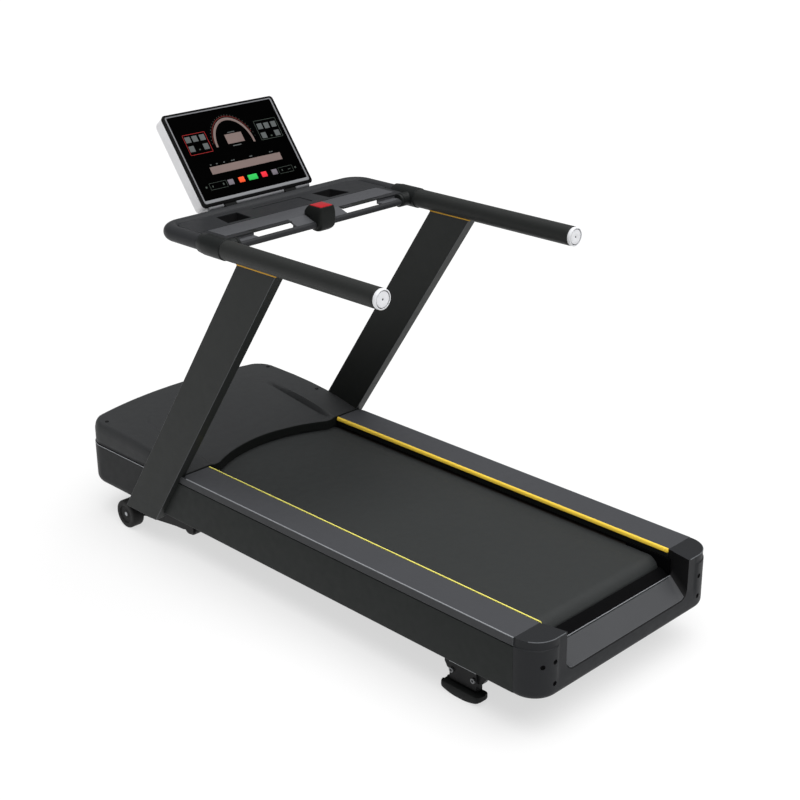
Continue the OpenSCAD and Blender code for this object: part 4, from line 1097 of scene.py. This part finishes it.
def console():
    hw, h = 223.0, 319.0

    def o(m, r):
        return round_outline(-hw + m, m, hw - m, h - m, r, 8)
    # white back shell, rounded towards its back
    rings = [[(u, v, w) for u, v in o(m, r)] for w, m, r in
             ((-9.2, 2.0, 13), (-11, 1.2, 14), (-32, 1.4, 14), (-46, 1.8, 14), (-51, 2.8, 14), (-54.5, 5, 13),
              (-57, 9, 11), (-58, 16, 8))]
    ob = con_loft("console_back", rings, "shell", "shell_white", sharp=30)
    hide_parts("console_shell")
    # black rim frame and the grey bevelled bezel inside it
    gu, g0, g1 = 208.0, 22.0, 308.0

    def frame_ring(specs, name, mat, slot):
        rings = [[(u, v, w) for u, v in round_outline(-a, b0, a, b1, r, 8)] for w, a, b0, b1, r in specs]
        return con_loft(name, rings, mat, slot, loop=True, sharp=30)
    ob = frame_ring(((-9.0, hw - 1.0, 1.0, h - 1.0, 12), (-2.0, hw, 0.0, h, 12),
                     (-0.6, hw - 0.5, 0.5, h - 0.5, 12), (0.0, hw - 1.6, 1.6, h - 1.6, 11),
                     (0.0, hw - 8.8, 10.2, h - 6.4, 8), (-1.2, hw - 9.4, 10.8, h - 7.0, 7.5),
                     (-9.0, hw - 9.8, 11.2, h - 7.4, 7)),
                    "console_rim", "bezel_rim", "bezel_black")
    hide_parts("console_bezel")
    frame_ring(((-8.0, hw - 9.2, 10.6, h - 6.8, 7), (-1.0, hw - 9.2, 10.6, h - 6.8, 7),
                (-0.5, hw - 9.7, 11.1, h - 7.2, 7), (-1.0, gu + 0.8, g0 - 3.5, g1 + 0.8, 5),
                (-2.6, gu + 0.2, g0 - 0.2, g1 + 0.2, 4), (-8.0, gu + 0.2, g0 - 0.2, g1 + 0.2, 4)),
               "console_bezel_ring", "bezel", "bezel_black")
    holes = []
    ob = plate("console_panel", round_outline(-gu, g0, gu, g1, 3.5, 6), -4.0, -1.2, "glass", "panel_glass")
    # the coloured faces are a little smaller than the keys of the CAD
    key_share, key_half, key_v = 0.84, 9.2, 63
    for _key, c, w, _mat, _slot in KEYS:
        a, b = w * key_share / 2 + 0.5, key_half + 0.5
        ring = round_outline(c - a, key_v - b, c + a, key_v + b, 2, 4)
        holes.append(ring_cutter("keyhole", [[con(u, v, q) for u, v in ring] for q in (-6, 1)]))
    cut(ob, holes)
    soften(ob, 0.4, 2, 40)
    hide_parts("console_glass")
    for key, c, w, mat, slot in KEYS:
        rings = []
        for q, m in ((-6, 0), (-1.0, 0), (-0.5, 0.3), (-0.25, 1.0)):
            a, b = w * key_share / 2 - m, key_half - m
            rings.append([(u, v, q) for u, v in round_outline(c - a, key_v - b, c + a, key_v + b, 1.8, 4)])
        ob = con_loft("key_" + key + "_cap", rings, mat, slot, body="cap_" + key, sharp=35)
        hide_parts("key_" + key)


for name, rgb in (("key_grey", (112, 106, 114)), ("key_orange", (244, 84, 40)), ("key_green", (44, 190, 84)),
                  ("key_red", (232, 40, 56))):
    MATS[name] = material(name, rgb, 0.5, grain=900, bump=0.1, mottle=0.05)
for name, rgb in (("ink_taupe", (120, 104, 100)), ("ink_grey", (86, 90, 90)), ("ink_red", (160, 36, 36)),
                  ("ink_arc", (120, 44, 40)), ("ink_dim", (64, 72, 66))):
    MATS[name] = material(name, rgb, 0.55, grain=900, bump=0.05, mottle=0.06)
KEYS = (("slower", -84, 26, "key_grey", "key_grey"), ("stop", -41, 26, "key_orange", "key_orange"),
        ("start", 4, 44, "key_green", "key_green"), ("pause", 51, 26, "key_red", "key_red"),
        ("faster", 94, 26, "key_grey", "key_grey"))
console()


def ink(name, shapes, mat):
    """Thin printed shapes that lie on the panel: each is an outline in console coordinates."""
    verts, faces = [], []
    for outline in shapes:
        s = len(verts)
        n = len(outline)
        for w in (-1.3, -0.95):
            verts += [con(u, v, w) for u, v in outline]
        faces.append(tuple(range(s + n - 1, s - 1, -1)))
        faces.append(tuple(range(s + n, s + 2 * n)))
        for j in range(n):
            k = (j + 1) % n
            faces.append((s + j, s + k, s + n + k, s + n + j))
    return finish_mesh(name, raw_mesh(name, verts, faces), mat, "console", "panel_glass", sharp=35)


def rect(u0, v0, u1, v1):
    return [(u0, v0), (u1, v0), (u1, v1), (u0, v1)]


def line(u0, v0, u1, v1, t=1.2):
    d = hypot(u1 - u0, v1 - v0)
    nu, nv = -(v1 - v0) / d * t / 2, (u1 - u0) / d * t / 2
    return [(u0 + nu, v0 + nv), (u0 - nu, v0 - nv), (u1 - nu, v1 - nv), (u1 + nu, v1 + nv)]


def box_lines(u0, v0, u1, v1, t=1.2):
    return [line(u0, v0, u1, v0, t), line(u1, v0 + t, u1, v1 - t, t), line(u0, v1, u1, v1, t),
            line(u0, v0 + t, u0, v1 - t, t)]


def graphics():
    left = [(-167, 226), (-140, 226), (-111, 226), (-167, 194.5), (-112, 194.5)]
    right = [(121, 223), (148, 222), (177, 222), (121, 190.5), (176, 190.5)]
    ink("print_cluster_keys", [rect(u - 10, v - 10, u + 10, v + 10) for u, v in left + right], "ink_grey")
    ink("print_cluster_frame_red", box_lines(-181, 174, -95, 243, 1.3), "ink_red")
    dim = box_lines(104, 176, 193, 243, 1.2)
    dim += box_lines(-167, 51, -101, 73, 1.0) + box_lines(112, 52, 170, 73, 1.0)
    marks = [rect(-158, 59, -154, 65), rect(-116, 59, -111, 66), rect(124, 60, 128, 66),
             rect(150, 61, 160, 63), rect(178, 60, 184, 66), rect(-184, 60, -178, 66),
             rect(-143, 186, -137, 190), rect(146, 183, 153, 187)]
    for i in range(24):
        a = 172 - i * 164 / 23
        r = 101
        u, v = 1 + 0.86 * r * cos(radians(a)), 183 + r * sin(radians(a))
        marks.append(rect(u - 0.9, v - 1.6, u + 0.9, v + 1.6))
    ink("print_marks", dim + marks, "ink_dim")

    def arch(k0, k1, a0, a1):
        """A band of an ellipse between the scales k0 and k1."""
        return [(1 + (77 * k) * cos(radians(a)), 183 + 92 * k * sin(radians(a)))
                for k, first, last in ((k1, a0, a1), (k0, a1, a0)) for a in np.linspace(first, last, 36)]
    ink("print_arch", [arch(0.9, 1.0, -4, 180), rect(-28, 186, 39, 219), rect(-137, 99, 148, 124)],
        "ink_taupe")
    labels = [rect(-12, 223, 16, 225.5), rect(-14, 176, 20, 179)]
    for u in (-128, -104, -75, -44, -36, 30, 36, 112, 120):
        labels.append(rect(u - 3, 130, u + 3, 133))
    ink("print_labels", labels, "ink_grey")
    ink("print_arc_red", [arch(1.045, 1.06, 18, 172)], "ink_arc")


graphics()


def hinge():
    """Fixed knuckles on the rim and the console's own barrel between them."""
    hy, hz = con(0, 8, -8)[1:]
    for i, x in enumerate((-122, 122)):
        sec = [(454, 1115)] + circle((hy, hz), 7.0, 16, 190, -75, ends=True) + [(470, 1107), (458, 1107)]
        ob = prism("hinge_knuckle_%d" % i, sec, "x", x - 23, x + 23, "knuckle", slot="black_plastic",
                   bevel=0.8, segments=2)
        if i == 0:
            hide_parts("hinge_base")
    for i, (x0, x1) in enumerate(((-205, -147), (-97, 97), (147, 205))):
        prof = [(x0, 5.6), (x0 + 1, 6.6), (x1 - 1, 6.6), (x1, 5.6)]
        lathe("hinge_barrel_%d" % i, prof, "x", con(0, -3, -8)[1:], "hinge", "console", "bezel_black", n=32,
              sharp=35)


hinge()

# ------------------------------------------------------------------ rear feet


def rear_feet():
    y = SEAM + 208
    for nm, s in SIDES:
        front = round_outline(y - 50, 36, y + 50, 92, 3, 3)
        ob = prism("foot_plate_" + nm, front, "x", s * 349, s * 356.5, "steel_black", slot="black_steel",
                   bevel=1.0)
        if s < 0:
            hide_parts("foot_brackets")
        block = [(y - 76, 119.5), (y - 76, 78), (y - 66, 62), (y - 50, 56), (y - 50, 31), (y + 50, 31),
                 (y + 50, 56), (y + 66, 62), (y + 76, 78), (y + 76, 119.5)]
        prism("foot_block_" + nm, block, "x", s * 330, s * 349, "steel_black", slot="black_steel", bevel=1.5)
        box("foot_plate_edge_" + nm, (min(s * 349, s * 358), y - 50, 92),
            (max(s * 349, s * 358), y + 50, 95.5), "zinc", slot="zinc_steel", bevel=0.6)
        for i, dy in enumerate((-40, 40)):
            ob = socket_screw("foot_bolt_%s_%d" % (nm, i), (s * 361.5, y + dy, 67), (s, 0, 0), 8, mat="bolt",
                              slot="zinc_steel", depth=5.2)
            if s < 0 and i == 0:
                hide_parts("foot_bolts")
        # rocker pad: curved underside, raised rim round a sunk top
        rock_r, top = 197, 29.0
        rings = []
        for t in np.linspace(-71, 71, 41):
            z_low = max(0.0, rock_r - 0.7 - sqrt(rock_r ** 2 - t * t))
            end = max(0.0, (abs(t) - 60) / 11)
            pinch = 10 * (1 - sqrt(max(0.0, 1 - end ** 2)))
            xi, xo = 326 + pinch, 374 - pinch
            sec = [(xi, z_low + 2), (xi + 1.5, z_low + 0.2), (xi + 4, z_low), (xo - 4, z_low),
                   (xo - 1.5, z_low + 0.4), (xo, z_low + 3), (xo, top - 2), (xo - 1.5, top), (xo - 6, top),
                   (xo - 7.5, top - 3), (xi + 7.5, top - 3), (xi + 6, top), (xi + 1.5, top), (xi, top - 2)]
            rings.append([(s * a, y + t, b) for a, b in sec])
        ob = loft("foot_pad_" + nm, rings, "pad", slot="black_rubber", sharp=40)
        if s < 0:
            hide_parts("foot_pads")


rear_feet()

# ------------------------------------------------------------------ incline frame and wheels


def incline():
    py, pz, ay, az = SEAM + 1425, 83.0, SEAM + 1713, 49.0
    for nm, s in SIDES:
        out = circle((py, pz), 28, 24, 75, 318, ends=True)
        out += [(py + 46, pz - 24), (py + 80, pz - 26), (ay - 70, az - 11), (ay - 40, az - 13)]
        out += circle((ay, az), 27, 20, -128, 75, ends=True)
        out += [(ay - 60, az + 25), (py + 90, pz + 12), (py + 50, pz + 20)]
        body = prism("lift_arm_" + nm, out, "x", s * 318.5, s * 347.5, "steel_black", "incline_frame",
                     "black_steel", bevel=2.0)
        if s < 0:
            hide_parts("lift_frame")
        prof = [(s * 347, 8.0), (s * 399.0, 8.0), (s * 400.0, 7.0), (s * 400.0, 1.0)]
        lathe("wheel_axle_" + nm, prof, "x", (ay, az), "zinc", "incline_frame", "black_steel", n=32, sharp=35)
        r = 49.0
        prof = [(359, 8.1), (359, 41.5), (359.8, 45), (361.5, 47.8), (364.5, r), (397.5, r), (400.5, 47.8),
                (402.2, 45), (403, 41.5), (403, 31), (402.4, 30), (399.5, 29), (399.5, 16), (400.6, 15),
                (400.6, 8.1)]
        ob = lathe("wheel_" + nm + "_tyre", [(s * a, b) for a, b in prof], "x", (ay, az), "wheel",
                   "transport_wheel_" + nm, "wheel_rubber", n=72, sharp=30, caps=False)
        close_tube(ob, len(prof), 72)
        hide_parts("wheel_" + nm)
    for name, yy, zz, r in (("lift_pivot_tube", py, pz, 16), ("lift_brace", py + 190, pz - 22, 14)):
        prof = [(x, r) for x in np.linspace(-319, 319, 9)]
        lathe(name, prof, "x", (yy, zz), "steel_black", "incline_frame", "black_steel", n=40, sharp=35)
    # the lever that the screw pushes
    a = radians(110)
    along = Vector((0, cos(a), sin(a)))
    across = Vector((0, -sin(a), cos(a)))

    def pt(x, t, q):
        p = Vector((0, py, pz)) + along * t + across * q
        return (x, p.y, p.z)
    outline = [(10, -15)]
    outline += [(100 + 15 * sin(radians(k)), -15 * cos(radians(k))) for k in range(0, 181, 15)] + [(10, 15)]
    rings = [[pt(x, t, q) for t, q in outline] for x in (296, 304)]
    ob = loft("lift_lever", rings, "steel_black", "incline_frame", "black_steel")
    slot = [(93 + 7 * sin(radians(k)), -7 * cos(radians(k))) for k in range(180, 361, 15)]
    slot += [(101 + 7 * sin(radians(k)), -7 * cos(radians(k))) for k in range(0, 181, 15)]
    cut(ob, [ring_cutter("slot", [[pt(x, t, q) for t, q in slot] for x in (290, 310)])])
    soften(ob, 0.8, 2, 40)


incline()

# ------------------------------------------------------------------ floor, light


def studio():
    floor = bpy.data.meshes.new("floor")
    floor.from_pydata([(-60, -60, 0), (60, -60, 0), (60, 60, 0), (-60, 60, 0)], [], [(0, 1, 2, 3)])
    ob = bpy.data.objects.new("floor", floor)
    bpy.context.collection.objects.link(ob)
    mat = bpy.data.materials.new("floor")
    mat.use_nodes = True
    b = mat.node_tree.nodes["Principled BSDF"]
    put(b, Base_Color=(0.3, 0.3, 0.3, 1), Roughness=1.0, Specular_IOR_Level=0.0,
        Emission_Color=(1, 1, 1, 1), Emission_Strength=0.64)
    floor.materials.append(mat)
    world = bpy.data.worlds.new("world")
    bpy.context.scene.world = world
    world.use_nodes = True
    bg = world.node_tree.nodes["Background"]
    bg.inputs[0].default_value = (1, 1, 1, 1)
    # the camera sees the far background as pale as the floor; the part is lit by a dimmer sky
    sky, seen = 0.25, 0.75
    path = world.node_tree.nodes.new("ShaderNodeLightPath")
    power = world.node_tree.nodes.new("ShaderNodeMath")
    power.operation = "MULTIPLY_ADD"
    power.inputs[1].default_value = seen
    power.inputs[2].default_value = sky
    world.node_tree.links.new(path.outputs["Is Camera Ray"], power.inputs[0])
    world.node_tree.links.new(power.outputs[0], bg.inputs[1])
    for name, toward, soft, strength in (("top", (0.1, -0.2, 1.0), 75, 3.5),
                                         ("side", (-0.6, -0.5, 1.0), 40, 0.18)):
        light = bpy.data.lights.new(name, "SUN")
        light.angle = radians(soft)
        light.energy = strength
        lo = bpy.data.objects.new(name, light)
        lo.rotation_euler = (-Vector(toward)).to_track_quat("-Z", "Y").to_euler()
        bpy.context.collection.objects.link(lo)
    bpy.context.scene.view_settings.view_transform = "Standard"


studio()
